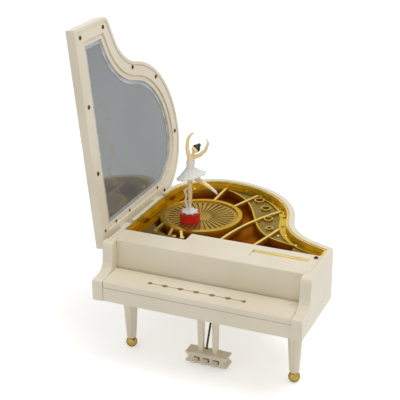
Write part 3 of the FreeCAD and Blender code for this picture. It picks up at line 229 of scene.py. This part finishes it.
gilt, tree, shader, place = surface("vacuum-metallised gold, harp tray", **{
    "Specular IOR Level": 0.25, "Specular Tint": linear("F2DCA8")})
axes = add(tree, "SeparateXYZ", {"Vector": place})
height = add(tree, "MapRange", {
    "Value": axes.outputs["Z"], "From Min": TRAY_TOP + WELL_MM * MM, "From Max": TRAY_TOP + LIP_MM * MM})
# Painted light by height: dark amber in the wells is painted shade, pale gold on the bars' tops is painted
# highlight.
shade = add(tree, "ValToRGB", {"Fac": height}, [
    (level(WELL_MM), "904C00"), (level(-2.0), "A86408"), (level(-1.0), "C08A1C"), (level(-0.85), "8C7C54"),
    (level(-0.7), "8C7C54"), (level(-0.4), "CDB050"), (level(0.1), "D4BA5A"), (level(0.5), "F0D88E"),
    (level(1.1), "F2DC96"), (level(1.5), "E0BC54"), (level(LIP_MM), "EBD080")])
amber = add(tree, "ValToRGB", {"Fac": height}, [
    (level(WELL_MM), "8A4A00"), (level(0.1), "B88C18"), (level(0.6), "E6CA6A"), (level(LIP_MM), "DDC048")])
spine_side = add(tree, "Math", {0: axes.outputs["X"], 1: tray_low.x + SPINE_WIDTH}, operation="LESS_THAN")
sided_tops = add(tree, "Mix", {0: spine_side, 6: shade, 7: amber}, data_type="RGBA")
from_stage = add(tree, "VectorMath", {
    0: place, 1: (stage_at.x, stage_at.y, TRAY_TOP)}, operation="DISTANCE")
on_ring = add(tree, "Math", {0: from_stage.outputs["Value"], 1: RING_REACH}, operation="LESS_THAN")
raised = add(tree, "Math", {0: height, 1: level(RAISED_MM)}, operation="GREATER_THAN")
on_ring = add(tree, "Math", {0: on_ring, 1: raised}, operation="MULTIPLY")
tops = add(tree, "Mix", {0: on_ring, 6: sided_tops.outputs[2], 7: linear("C8A552")}, data_type="RGBA")
# The walls are painted darker towards the bottom, which is painted shade.
walls = add(tree, "ValToRGB", {"Fac": height}, [
    (level(WELL_MM), "904E04"), (level(-1.0), "C4921C"), (level(0.0), "DCBC38"), (level(LIP_MM), "E6CE54")])
facing_way = add(tree, "TexCoord").outputs["Normal"]
upward = add(tree, "SeparateXYZ", {"Vector": facing_way}).outputs["Z"]
is_top = add(tree, "Math", {0: upward, 1: LEVEL_ENOUGH}, operation="GREATER_THAN")
sided = add(tree, "Mix", {0: is_top, 6: walls, 7: tops.outputs[2]}, data_type="RGBA")
stain = add(tree, "TexNoise", {"Vector": place, "Scale": per_mm(8), "Detail": 4.0})
worn = add(tree, "ValToRGB", {"Fac": stain}, [(0.35, "EDE9E2"), (0.65, "FFFFFF")])
mixed = add(tree, "Mix", {0: 1.0, 6: sided.outputs[2], 7: worn}, data_type="RGBA", blend_type="MULTIPLY")
tree.links.new(mixed.outputs[2], shader.inputs["Base Color"])
print("tray top at", round(TRAY_TOP / MM, 2), "mm")

# %% [markdown]
# The tray's gloss follows its height too: the bars and the margin are polished, and the web, the wells and
# the lip are matted. Lacquer pools in the wells, so a little less of them is metal. A fine grain of about a
# millimetre breaks up the reflections, as the film does on a moulding.

# %% Gloss of the tray
WALL_METAL, WALL_ROUGH, GRAIN_GLOSS = 0.7, 0.34, 0.12
matting = add(tree, "ValToRGB", {"Fac": height}, [
    (level(WELL_MM), 0.30), (level(-1.0), 0.28), (level(-0.85), 0.28), (level(-0.7), 0.28),
    (level(-0.4), 0.10), (level(0.1), 0.10), (level(0.5), 0.08), (level(1.1), 0.08), (level(1.5), 0.30),
    (level(LIP_MM), 0.30)])
pooled = add(tree, "ValToRGB", {"Fac": height}, [
    (level(WELL_MM), 0.94), (level(-1.6), 0.96), (level(-1.0), 1.0)])
film = add(tree, "Mix", {0: is_top, 2: WALL_METAL, 3: pooled}, data_type="FLOAT")
tree.links.new(film.outputs[0], shader.inputs["Metallic"])
grain = add(tree, "TexNoise", {"Vector": place, "Scale": per_mm(1.2), "Detail": 3.0})
gloss = add(tree, "Math", {0: grain, 1: GRAIN_GLOSS, 2: matting}, operation="MULTIPLY_ADD")
wall_gloss = add(tree, "Mix", {0: is_top, 2: WALL_ROUGH, 3: gloss}, data_type="FLOAT")
tree.links.new(wall_gloss.outputs[0], shader.inputs["Roughness"])
lift = add(tree, "Bump", {"Height": grain, "Strength": 0.08, "Distance": 0.03 * MM})
tree.links.new(lift.outputs["Normal"], shader.inputs["Normal"])
print("tray gloss: walls", WALL_ROUGH)

# %% [markdown]
# The stage is the same metallised plastic, moulded with sunk rays. The colour is darker in the sunk rays,
# so it is taken from the height again.

# %% Rayed stage
RAY_FLOOR, RAY_EDGE = 0.5 * MM, 0.05 * MM
rayed, tree, shader, place = surface("vacuum-metallised gold, rayed stage", **{
    "Metallic": 0.9, "Specular Tint": linear("F2DCA8")})
height = add(tree, "SeparateXYZ", {"Vector": place}).outputs["Z"]
sunk = add(tree, "MapRange", {
    "Value": height, "From Min": stage_high.z - RAY_FLOOR, "From Max": stage_high.z - RAY_EDGE})
stain = add(tree, "TexNoise", {"Vector": place, "Scale": per_mm(11), "Detail": 4.0})
patina = add(tree, "ValToRGB", {"Fac": stain}, [(0.3, "9A7E44"), (0.7, "B89A58")])
darker = add(tree, "Mix", {0: sunk, 6: linear("7C6430"), 7: patina}, data_type="RGBA")
tree.links.new(darker.outputs[2], shader.inputs["Base Color"])
uneven_gloss(tree, shader, place, size_mm=1.5, low=0.32, high=0.44, bump=0.10)
print("stage disc", round((stage_high.x - stage_low.x) / MM, 1), "mm across")

# %% [markdown]
# Smaller metal: polished brass feet, brass screws painted dark, gilt studs, dark bronzed wire, plain steel,
# and zinc castings in the movement. All keep the default IOR. Only colour, roughness and grain differ, and
# a dark Specular Tint darkens what the feet and the screws reflect at their edges, which is painted dark
# reflection. The feet's brass is painted darker as painted dark reflection, and the screws' dark colour is
# painted shade.

# %% Metals


def metal(name, colour, rough, grain_mm, edge="FFFFFF"):
    """A metal with its colour, its mean roughness, the size of its grain and the tint at its edges."""
    made, tree, shader, place = surface(name, **{
        "Metallic": 1.0, "Base Color": linear(colour), "Specular Tint": linear(edge)})
    uneven_gloss(tree, shader, place, grain_mm, rough * 0.75, rough * 1.3, bump=0.06, depth_mm=0.01)
    return made


# Painted dark reflection: a darker brass, with a dark tint at its edges.
brass = metal("polished brass, painted dark reflection", "B0964E", 0.10, 2.0, "3A2C0C")
# Painted shade: the screws' brass is painted dark, and the dark edge tint is painted dark reflection.
screw_brass = metal("turned brass screws, painted shade", "72602E", 0.22, 0.8, "4A3A14")
# The studs take the bars' pale gold, which paints in a highlight.
stud_gilt = metal("polished gilt studs, painted highlight", "F0D88E", 0.12, 0.8)
bronze = metal("bronzed wire", "54402A", 0.38, 1.5)
steel = metal("plain steel", "9A9A98", 0.30, 1.2)
zinc = metal("die-cast zinc", "A5A5A0", 0.42, 1.6)
ferrite = metal("sintered ferrite", "3A3A3C", 0.55, 0.8)
print("metals done")

# %% [markdown]
# The mirror is thin silvered acrylic under a protective film. It reflects only part of the light, and the
# film adds a grey haze, so Metallic is under half. A faint gilt sprig is printed near its straight edge: a
# wavy stem with round buds, drawn from Y and Z, since print has no thickness.

# %% Silvered mirror
SPRIG_FOOT, SPRIG_HALF, SPRIG_IN, SWAY, SWAY_LENGTH = 14 * MM, 36 * MM, 17 * MM, 4 * MM, 26 * MM
STEM_HALF, BUD_RADIUS, BUD_OUT, BUD_PITCH = 0.45 * MM, 1.0 * MM, 2.2 * MM, 6.5 * MM
PRINT_STRENGTH, PRINT_ROUGH, GLASS_ROUGH = 0.6, 0.25, 0.05
mirror_low, mirror_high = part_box("lid_mirror")
silver, tree, shader, place = surface("silvered acrylic mirror", **{
    "Metallic": 0.42, "Specular IOR Level": 0.2})
axes = add(tree, "SeparateXYZ", {"Vector": place})
rise = add(tree, "Math", {0: axes.outputs["Z"], 1: mirror_low.z + SPRIG_FOOT}, operation="SUBTRACT")
turns = add(tree, "Math", {0: rise, 1: 2 * math.pi / SWAY_LENGTH}, operation="MULTIPLY")
wave = add(tree, "Math", {0: turns}, operation="SINE")
sway = add(tree, "Math", {0: wave, 1: SWAY, 2: mirror_low.y + SPRIG_IN}, operation="MULTIPLY_ADD")
aside = add(tree, "Math", {0: axes.outputs["Y"], 1: sway}, operation="SUBTRACT")
off_stem = add(tree, "Math", {0: aside}, operation="ABSOLUTE")
stem = add(tree, "Math", {0: off_stem, 1: STEM_HALF}, operation="LESS_THAN")
step = add(tree, "Math", {0: rise, 1: BUD_PITCH}, operation="PINGPONG")
bud_up = add(tree, "Math", {0: step, 1: BUD_PITCH / 2}, operation="SUBTRACT")
bud_out = add(tree, "Math", {0: off_stem, 1: BUD_OUT}, operation="SUBTRACT")
bud_at = add(tree, "CombineXYZ", {"X": bud_up, "Y": bud_out})
bud_off = add(tree, "VectorMath", {0: bud_at}, operation="LENGTH").outputs["Value"]
bud = add(tree, "Math", {0: bud_off, 1: BUD_RADIUS}, operation="LESS_THAN")
drawn = add(tree, "Math", {0: stem, 1: bud}, operation="MAXIMUM")
off_middle = add(tree, "Math", {0: rise, 1: SPRIG_HALF}, operation="SUBTRACT")
off_middle = add(tree, "Math", {0: off_middle}, operation="ABSOLUTE")
inside = add(tree, "Math", {0: off_middle, 1: SPRIG_HALF}, operation="LESS_THAN")
sprig = add(tree, "Math", {0: drawn, 1: inside}, operation="MULTIPLY")
film = add(tree, "TexNoise", {"Vector": place, "Scale": per_mm(45), "Detail": 2.0})
glass_tint = add(tree, "ValToRGB", {"Fac": film}, [(0.3, "868B8C"), (0.7, "8C9193")])
faint = add(tree, "Math", {0: sprig, 1: PRINT_STRENGTH}, operation="MULTIPLY")
printed = add(tree, "Mix", {0: faint, 6: glass_tint, 7: linear("A08A58")}, data_type="RGBA")
tree.links.new(printed.outputs[2], shader.inputs["Base Color"])
dulled = add(tree, "Math", {0: sprig, 1: PRINT_ROUGH, 2: GLASS_ROUGH}, operation="MULTIPLY_ADD")
tree.links.new(dulled.outputs["Value"], shader.inputs["Roughness"])
print("mirror", [round(v / MM) for v in mirror_high - mirror_low], "mm")

# %% [markdown]
# A frosted border with fine beads runs round the mirror, just inside its frame. It has to follow the
# mirror's own outline, so it is cut from a copy of the mirror's front face: the face is inset, only the
# band that this makes is kept, and a modifier gives it 0.2 mm of body. The beads are about 1.3 mm, a little
# coarser than real, so they show. A helper turns a mesh that is made in code into a piece with one finish,
# and the later pieces use it too.

# %% Mirror border
BORDER_WIDTH, BORDER_LIFT, BORDER_THICK = 4.2 * MM, 0.02 * MM, 0.2 * MM
FROST_BEAD_MM, FACING_IN = 1.3, 0.95


def piece_of(name, shape, finish, smooth=False):
    """Turns a bmesh into an object of the scene that has one finish."""
    mesh = bpy.data.meshes.new(name)
    shape.to_mesh(mesh)
    shape.free()
    mesh.materials.append(finish)
    if smooth:
        for face in mesh.polygons:
            face.use_smooth = True
    made = bpy.data.objects.new(name, mesh)
    bpy.context.collection.objects.link(made)
    return made


frosted, tree, shader, place = surface("frosted silver border", **{"Metallic": 0.3})
beads = add(tree, "TexVoronoi", {"Vector": place, "Scale": per_mm(FROST_BEAD_MM), "Randomness": 0.25})
bead_tint = add(tree, "ValToRGB", {"Fac": beads.outputs["Distance"]}, [(0.2, "D4D6D8"), (0.6, "A4A8AC")])
tree.links.new(bead_tint.outputs["Color"], shader.inputs["Base Color"])
lift = add(tree, "Bump", {
    "Height": beads.outputs["Distance"], "Strength": 0.4, "Distance": 0.2 * MM}, invert=True)
tree.links.new(lift.outputs["Normal"], shader.inputs["Normal"])

joints = frame["record"]["behaviour"]["joints"]
lid_joint = [joint for joint in joints if joint["name"] == "lid_hinge"][0]
hinge_at = Vector(lid_joint["pos_m"])
opening = Matrix.Rotation(-math.radians(lid_joint["range_deg"][1]), 4, "Y")
lid_inward = opening @ Vector((0, 0, -1))
band = bmesh.new()
band.from_mesh(nodes["lid_mirror"].data)
front = [face for face in band.faces if face.normal.dot(lid_inward) > FACING_IN]
rim = bmesh.ops.inset_region(
    band, faces=front, thickness=BORDER_WIDTH, use_even_offset=True, use_boundary=True)["faces"]
bmesh.ops.delete(band, geom=[face for face in band.faces if face not in rim], context="FACES")
bmesh.ops.translate(band, verts=band.verts, vec=lid_inward * BORDER_LIFT)
border = piece_of("mirror_border", band, frosted)
body = border.modifiers.new("thickness", "SOLIDIFY")
body.thickness = BORDER_THICK
body.offset = 1.0
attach(border, "lid")
print("border faces:", len(border.data.polygons))

# %% [markdown]
# The dancer and the stand are painted plastic: plain colours, satin to glossy, with brush-like unevenness
# of a few millimetres at most. One recipe serves them all, with two tones of each paint and its own gloss.

# %% Plastics and paint


def plastic(name, light, dark, rough, grain_mm=3.0):
    """A painted plastic in two close tones, and the socket that carries its colour."""
    made, tree, shader, place = surface(name, **{"IOR": 1.5})
    cloud = add(tree, "TexNoise", {"Vector": place, "Scale": per_mm(grain_mm * 2), "Detail": 3.0})
    tint = add(tree, "ValToRGB", {"Fac": cloud}, [(0.3, dark), (0.7, light)])
    tree.links.new(tint.outputs["Color"], shader.inputs["Base Color"])
    uneven_gloss(tree, shader, place, grain_mm, rough - 0.05, rough + 0.07, bump=0.08)
    return made, tree, shader, place, tint.outputs["Color"]


red = plastic("glossy red plastic", "D81F18", "C41610", 0.34)[0]
white = plastic("satin white plastic", "F0EFE9", "E6E4DC", 0.42)[0]
skin = plastic("painted flesh tone", "FFEAB4", "FADE9E", 0.45, 2.0)[0]
hair_paint = plastic("black hair paint", "1C1816", "0E0C0B", 0.35, 0.9)[0]
ebony = plastic("black key gloss", "181818", "0E0E0E", 0.22)[0]
lip_paint = plastic("lip paint", "B8433A", "A8362E", 0.40, 0.6)[0]
print("paints done")

# %% [markdown]
# The bodice is painted white with a low neckline, so the flesh tone comes down over the top of the same
# moulding. The line dips in the middle of the chest, so it is a height that rises with the distance from
# there.

# %% Bodice with a neckline
NECK_DROP, NECK_SLOPE, NECK_SHIFT = 2.6 * MM, 0.6, 0.5 * MM
bodice_low, bodice_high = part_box("dancer_bodice")
bodice_paint, tree, shader, place, plain_tint = plastic(
    "bodice paint, satin white", "F0EFE9", "E6E4DC", 0.42)
axes = add(tree, "SeparateXYZ", {"Vector": place})
chest_x = (bodice_low.x + bodice_high.x) / 2 + NECK_SHIFT
aside = add(tree, "Math", {0: axes.outputs["X"], 1: chest_x}, operation="SUBTRACT")
aside = add(tree, "Math", {0: aside}, operation="ABSOLUTE")
neckline = add(tree, "Math", {
    0: aside, 1: NECK_SLOPE, 2: bodice_high.z - NECK_DROP}, operation="MULTIPLY_ADD")
bare = add(tree, "Math", {0: axes.outputs["Z"], 1: neckline}, operation="GREATER_THAN")
painted = add(tree, "Mix", {0: bare, 6: plain_tint, 7: linear("FADFA4")}, data_type="RGBA")
tree.links.new(painted.outputs[2], shader.inputs["Base Color"])
print("bodice", round((bodice_high.z - bodice_low.z) / MM, 1), "mm tall")

# %% [markdown]
# The skirt is moulded in one piece with fine pleats. The pleats run out from the waist, so the bump follows
# the angle about the figure's axis, with 44 pleats to the round. The colour follows the same wave and is
# darker in the pleats' valleys, which is painted shade.

# %% Pleated skirt
PLEATS, SKIRT_SHIFT = 44.0, 1.2 * MM
drum_low, drum_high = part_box("figure_drum")
axis = (drum_low + drum_high) / 2
pleated, tree, shader, place = surface("pleated skirt, satin white, painted shade in the pleats", **{"IOR": 1.5, "Roughness": 0.5})
centred = add(tree, "VectorMath", {0: place, 1: (axis.x + SKIRT_SHIFT, axis.y, 0)}, operation="SUBTRACT")
axes = add(tree, "SeparateXYZ", {"Vector": centred})
angle = add(tree, "Math", {0: axes.outputs["Y"], 1: axes.outputs["X"]}, operation="ARCTAN2")
turns = add(tree, "Math", {0: angle, 1: PLEATS}, operation="MULTIPLY")
pleat = add(tree, "Math", {0: turns}, operation="SINE")
fold_shade = add(tree, "MapRange", {"Value": pleat, "From Min": -1.0})
# Painted shade: the white is darker in the pleats' valleys.
tint = add(tree, "ValToRGB", {"Fac": fold_shade}, [(0.0, "DDDCD5"), (0.6, "F3F2EC")])
tree.links.new(tint.outputs["Color"], shader.inputs["Base Color"])
lift = add(tree, "Bump", {"Height": pleat, "Strength": 0.5, "Distance": 0.25 * MM})
tree.links.new(lift.outputs["Normal"], shader.inputs["Normal"])
print("skirt pleated about", [round(v / MM, 1) for v in axis])

# %% [markdown]
# Each CAD node takes the finish of the real piece. A narrow bevel rounds the moulded edges, so that they
# catch a line of light as real mouldings do. It is a modifier, so the CAD meshes stay as they are.

# %% Dress the CAD nodes
FINISHES = {
    ivory: "case_rim bottom_plate front_rail key_slip leg_left leg_right leg_rear lyre_posts lid_shell "
           "lid_frame pedals",
    printed_ivory: "fallboard", ivory_with_painted_slot_shade: "lyre_box", gilt: "gold_tray", rayed: "stage_disc",
    silver: "lid_mirror", brass: "hinge_pins ball_foot_left ball_foot_right ball_foot_rear tune_drum",
    screw_brass: "rail_screw lid_screws", bronze: "brace_rods",
    steel: "bottom_screws tone_comb comb_screws bed_screws mainspring winding_key",
    zinc: "movement_bed drum_bearings comb_block speed_governor spring_barrel",
    ferrite: "drive_magnet figure_magnet",
    red: "figure_drum", white: "white_keys take_off_wheel figure_pad dancer_slippers dancer_scarf",
    bodice_paint: "dancer_bodice", pleated: "dancer_tutu", skin: "dancer_arms_head dancer_legs",
    hair_paint: "dancer_hair", ebony: "black_keys",
}
EDGE_MM = {
    "case_rim": 0.7, "front_rail": 0.5, "key_slip": 0.4, "fallboard": 0.4, "lid_shell": 0.8,
    "lid_frame": 0.5, "lyre_box": 0.4, "lyre_posts": 0.4, "gold_tray": 0.3, "figure_drum": 0.4,
    "leg_left": 0.3, "leg_right": 0.3, "leg_rear": 0.3, "pedals": 0.3,
}
SHARP_DEGREES = 35
for finish, names in FINISHES.items():
    for name in names.split():
        nodes[name].data.materials.clear()
        nodes[name].data.materials.append(finish)
for name, width_mm in EDGE_MM.items():
    bevel = nodes[name].modifiers.new("softened edges", "BEVEL")
    bevel.width = width_mm * MM
    bevel.segments = 2
    bevel.limit_method = "ANGLE"
    bevel.angle_limit = math.radians(SHARP_DEGREES)
    bevel.harden_normals = True
print("dressed", sum(len(names.split()) for names in FINISHES.values()), "of", len(nodes), "nodes")

# %% [markdown]
# The dancer's face is painted on: two dark eyes and a small mouth. A texture would need the head's outline,
# so each is a flattened dome that sits on the head's sphere and keeps its place from every side. Blender's
# sphere comes with its faces in a chance order, so they are sorted, and each run then gives the same mesh.

# %% Eyes and lips
HEAD_FROM_DRUM_MM, HEAD_RADIUS, DOME_RISE = (4.8, -0.6, 53.8), 2.58 * MM, 0.12 * MM
HEIGHT_FIRST, DIGITS = 1000, 4


def up_then_round(face):
    """A number that rises with a face's height first and its angle next, which gives one fixed order."""
    middle = face.calc_center_median()
    return HEIGHT_FIRST * round(middle.z, DIGITS) + math.atan2(middle.y, middle.x)


def painted_dome(name, at, out, wide, tall, paint):
    """A low dome, wide across and tall up, lying on a surface whose normal is out."""
    shape = bmesh.new()
    bmesh.ops.create_uvsphere(shape, u_segments=16, v_segments=8, radius=1.0)
    shape.faces.sort(key=up_then_round)
    piece = piece_of(name, shape, paint, smooth=True)
    turn = out.to_track_quat("Z", "Y").to_matrix().to_4x4()
    piece.matrix_world = Matrix.Translation(at) @ turn @ Matrix.Diagonal((wide, tall, DOME_RISE, 1.0))
    return piece


head = Vector((axis.x, axis.y, drum_low.z)) + Vector(HEAD_FROM_DRUM_MM) * MM
facing = Vector((-0.35, -0.93, 0.0)).normalized()
side = Vector((0.93, -0.35, 0.0)).normalized()
for name, across, up, wide, tall, paint in (
        ("eye_left", -0.36, 0.16, 0.36, 0.22, hair_paint),
        ("eye_right", 0.36, 0.16, 0.36, 0.22, hair_paint),
        ("mouth", 0.0, -0.42, 0.48, 0.18, lip_paint)):
    out = (facing + side * across + Vector((0, 0, up))).normalized()
    dome = painted_dome(name, head + out * HEAD_RADIUS, out, wide * MM, tall * MM, paint)
    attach(dome, "dancer")
print("face painted")

# %% [markdown]
# A row of small screws runs beside the lid's hinge, on the lid's inner face. They are placed on the shut
# lid, where the face is level, and then turned open about the hinge with it. Each head is turned from a
# profile with a driver recess.

# %% Hinge-side screws


def turned(name, profile_mm, finish, segments=20):
    """A round piece: the profile's (radius, height) points go round Z, and both ends are closed."""
    shape = bmesh.new()
    rings = []
    for radius, height in profile_mm:
        angles = [2 * math.pi * i / segments for i in range(segments)]
        points = [Vector((radius * math.cos(a), radius * math.sin(a), height)) * MM for a in angles]
        rings.append([shape.verts.new(point) for point in points])
    for lower, upper in zip(rings, rings[1:]):
        for i in range(segments):
            k = (i + 1) % segments
            shape.faces.new((lower[i], lower[k], upper[k], upper[i]))
    shape.faces.new(rings[-1])
    shape.faces.new(reversed(rings[0]))
    return piece_of(name, shape, finish, smooth=True)


FROM_HINGE_MM = 7.4
HEAD_PROFILE = [(1.1, 0.0), (1.1, 0.12), (0.85, 0.32), (0.45, 0.34), (0.32, 0.06), (0.02, 0.05)]
SCREW_ROW = ((23.5, 5.8), (-21.8, 5.8), (-42.2, 5.8), (-59.8, 4.8))
face_down = Matrix.Rotation(math.pi, 4, "X")
for i, (back_mm, up_mm) in enumerate(SCREW_ROW):
    screw = turned("hinge_screw_%d" % (i + 1), HEAD_PROFILE, screw_brass)
    shut = Vector((FROM_HINGE_MM, back_mm, up_mm)) * MM
    screw.matrix_world = Matrix.Translation(hinge_at) @ opening @ Matrix.Translation(shut) @ face_down
    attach(screw, "lid")
print("hinge screws:", len(SCREW_ROW))

# %% [markdown]
# Five more studs stand on the tray, beside those that its moulding has. Each is a turned dome that is set
# on the face under it, so the places are the studs' own X and Y, with the height of that face over the
# tray's top.

# %% Studs on the tray
DOME_PROFILE = [(0.9, 0.0), (0.9, 0.35), (0.66, 0.68), (0.02, 0.8)]
STUDS_MM = (
    (-45.0, 56.0, 0.0), (31.5, 37.6, 0.0), (40.3, 1.4, -0.8), (45.8, 1.6, 0.0), (56.9, -10.3, 0.0))
for i, (x_mm, y_mm, up_mm) in enumerate(STUDS_MM):
    stud = turned("tray_stud_%d" % (i + 1), DOME_PROFILE, stud_gilt)
    stud.location = (x_mm * MM, y_mm * MM, TRAY_TOP + up_mm * MM)
    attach(stud, "case")
print("studs:", len(STUDS_MM))

# %% [markdown]
# The rail has a long slot beside the desk, and gold shows in it. A thin gilt bead lines the slot's far
# side. It is a quarter-round profile carried along X, so that it catches a line of light as the tray's own
# bars do.

# %% Gilt bead in the slot
rail_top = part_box("front_rail")[1].z
SLOT_LEFT, SLOT_RIGHT, SLOT_BACK = 36.3 * MM, 73.75 * MM, -33.1 * MM
BEAD_PROFILE = [(-0.02, -0.2), (-0.5, -0.3), (-1.0, -0.65), (-1.25, -1.2), (-1.25, -1.9), (-0.02, -1.9)]
shape = bmesh.new()
ends = []
for x in (SLOT_LEFT, SLOT_RIGHT):
    ends.append([shape.verts.new((x, SLOT_BACK + y * MM, rail_top + z * MM)) for y, z in BEAD_PROFILE])
count = len(BEAD_PROFILE)
for i in range(count):
    k = (i + 1) % count
    shape.faces.new((ends[0][i], ends[1][i], ends[1][k], ends[0][k]))
shape.faces.new(ends[0])
shape.faces.new(reversed(ends[1]))
bmesh.ops.recalc_face_normals(shape, faces=shape.faces)
bead = piece_of("slot_bead", shape, gilt)
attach(bead, "case")
print("slot bead", round((SLOT_RIGHT - SLOT_LEFT) / MM, 1), "mm long")

# %% [markdown]
# The part stands on a plain pale table in a white room. Both are white where the camera, metal or glass
# sees them, and the table still takes the object's shadow. Light Path tells such rays apart from those that
# only light the object.

# %% Table and white room
FLOOR_SIZE, TABLE_GLOW, ROOM_LIGHT = 6.0, 0.42, 0.58


def seen_straight(tree):
    """1 where the camera, metal or glass looks at the surface, and 0 where it only lights others."""
    path = add(tree, "LightPath")
    seen = add(tree, "Math", {
        0: path.outputs["Is Camera Ray"], 1: path.outputs["Is Glossy Ray"]}, operation="MAXIMUM")
    return add(tree, "Math", {0: seen, 1: path.outputs["Is Transmission Ray"]}, operation="MAXIMUM")


bpy.ops.mesh.primitive_plane_add(size=FLOOR_SIZE, location=(0, 0, 0))
floor = bpy.context.object
floor.name = "studio_floor"
table, tree, shader, place = surface("pale table", **{"Base Color": linear("F2F2F2"), "Roughness": 0.9})
floor.data.materials.append(table)
white_level = add(tree, "Math", {0: seen_straight(tree), 1: TABLE_GLOW}, operation="MULTIPLY")
glow = add(tree, "Emission", {"Color": (1, 1, 1, 1), "Strength": white_level})
whole = add(tree, "AddShader", {0: shader, 1: glow})
sink = [node for node in tree.nodes if node.type == "OUTPUT_MATERIAL"][0]
tree.links.new(whole.outputs["Shader"], sink.inputs["Surface"])
world = bpy.data.worlds.new("studio")
bpy.context.scene.world = world
world.use_nodes = True
tree = world.node_tree
tree.nodes.clear()
room_light = add(tree, "Background", {"Color": (1, 1, 1, 1), "Strength": ROOM_LIGHT})
backdrop = add(tree, "Background", {"Color": (1, 1, 1, 1), "Strength": 1.0})
pick = add(tree, "MixShader", {0: seen_straight(tree), 1: room_light, 2: backdrop})
add(tree, "OutputWorld", {"Surface": pick})
print("room light", ROOM_LIGHT)

# %% [markdown]
# Light from the room alone would leave the case flat. A soft lamp above and to the right gives its faces
# different tones, and a weak lamp in front lifts the shadows.

# %% Lamps
LAMP_AIM = (0, 0, 0.08)


def softbox(name, place, aim, size, watts):
    """A round area lamp that is aimed at a point."""
    data = bpy.data.lights.new(name, "AREA")
    data.shape = "DISK"
    data.size = size
    data.energy = watts
    made = bpy.data.objects.new(name, data)
    bpy.context.collection.objects.link(made)
    made.location = place
    made.rotation_euler = (Vector(aim) - Vector(place)).to_track_quat("-Z", "Y").to_euler()


softbox("overhead softbox", place=(0.3, 0.0, 1.05), aim=LAMP_AIM, size=0.8, watts=4.4)
softbox("front softbox", place=(-0.3, -1.1, 0.6), aim=LAMP_AIM, size=0.7, watts=0.6)
print("lamps placed")

# %% [markdown]
# The camera stands where the photograph's did, to the treble side and a little above, with a lens fitted to
# the case's edges.

# %% Camera
PHOTO_PX, FOCAL_PX, SENSOR_MM = 400, 1095.5, 36.0
CAMERA_AT = (0.25939, -0.63916, 0.38910)
AZIMUTH, ELEVATION, ROLL = 23.35, 22.83, -0.38
camera = bpy.data.objects.new("camera", bpy.data.cameras.new("camera"))
bpy.context.collection.objects.link(camera)
camera.data.sensor_width = SENSOR_MM
camera.data.lens = SENSOR_MM * FOCAL_PX / PHOTO_PX
camera.data.clip_start = 0.01
camera.matrix_world = (Matrix.Translation(CAMERA_AT)
                       @ Matrix.Rotation(math.radians(AZIMUTH), 4, "Z")
                       @ Matrix.Rotation(math.radians(90 - ELEVATION), 4, "X")
                       @ Matrix.Rotation(math.radians(ROLL), 4, "Z"))
bpy.context.scene.camera = camera
bpy.context.scene.view_settings.view_transform = "Standard"
print("camera lens", round(camera.data.lens, 1), "mm")
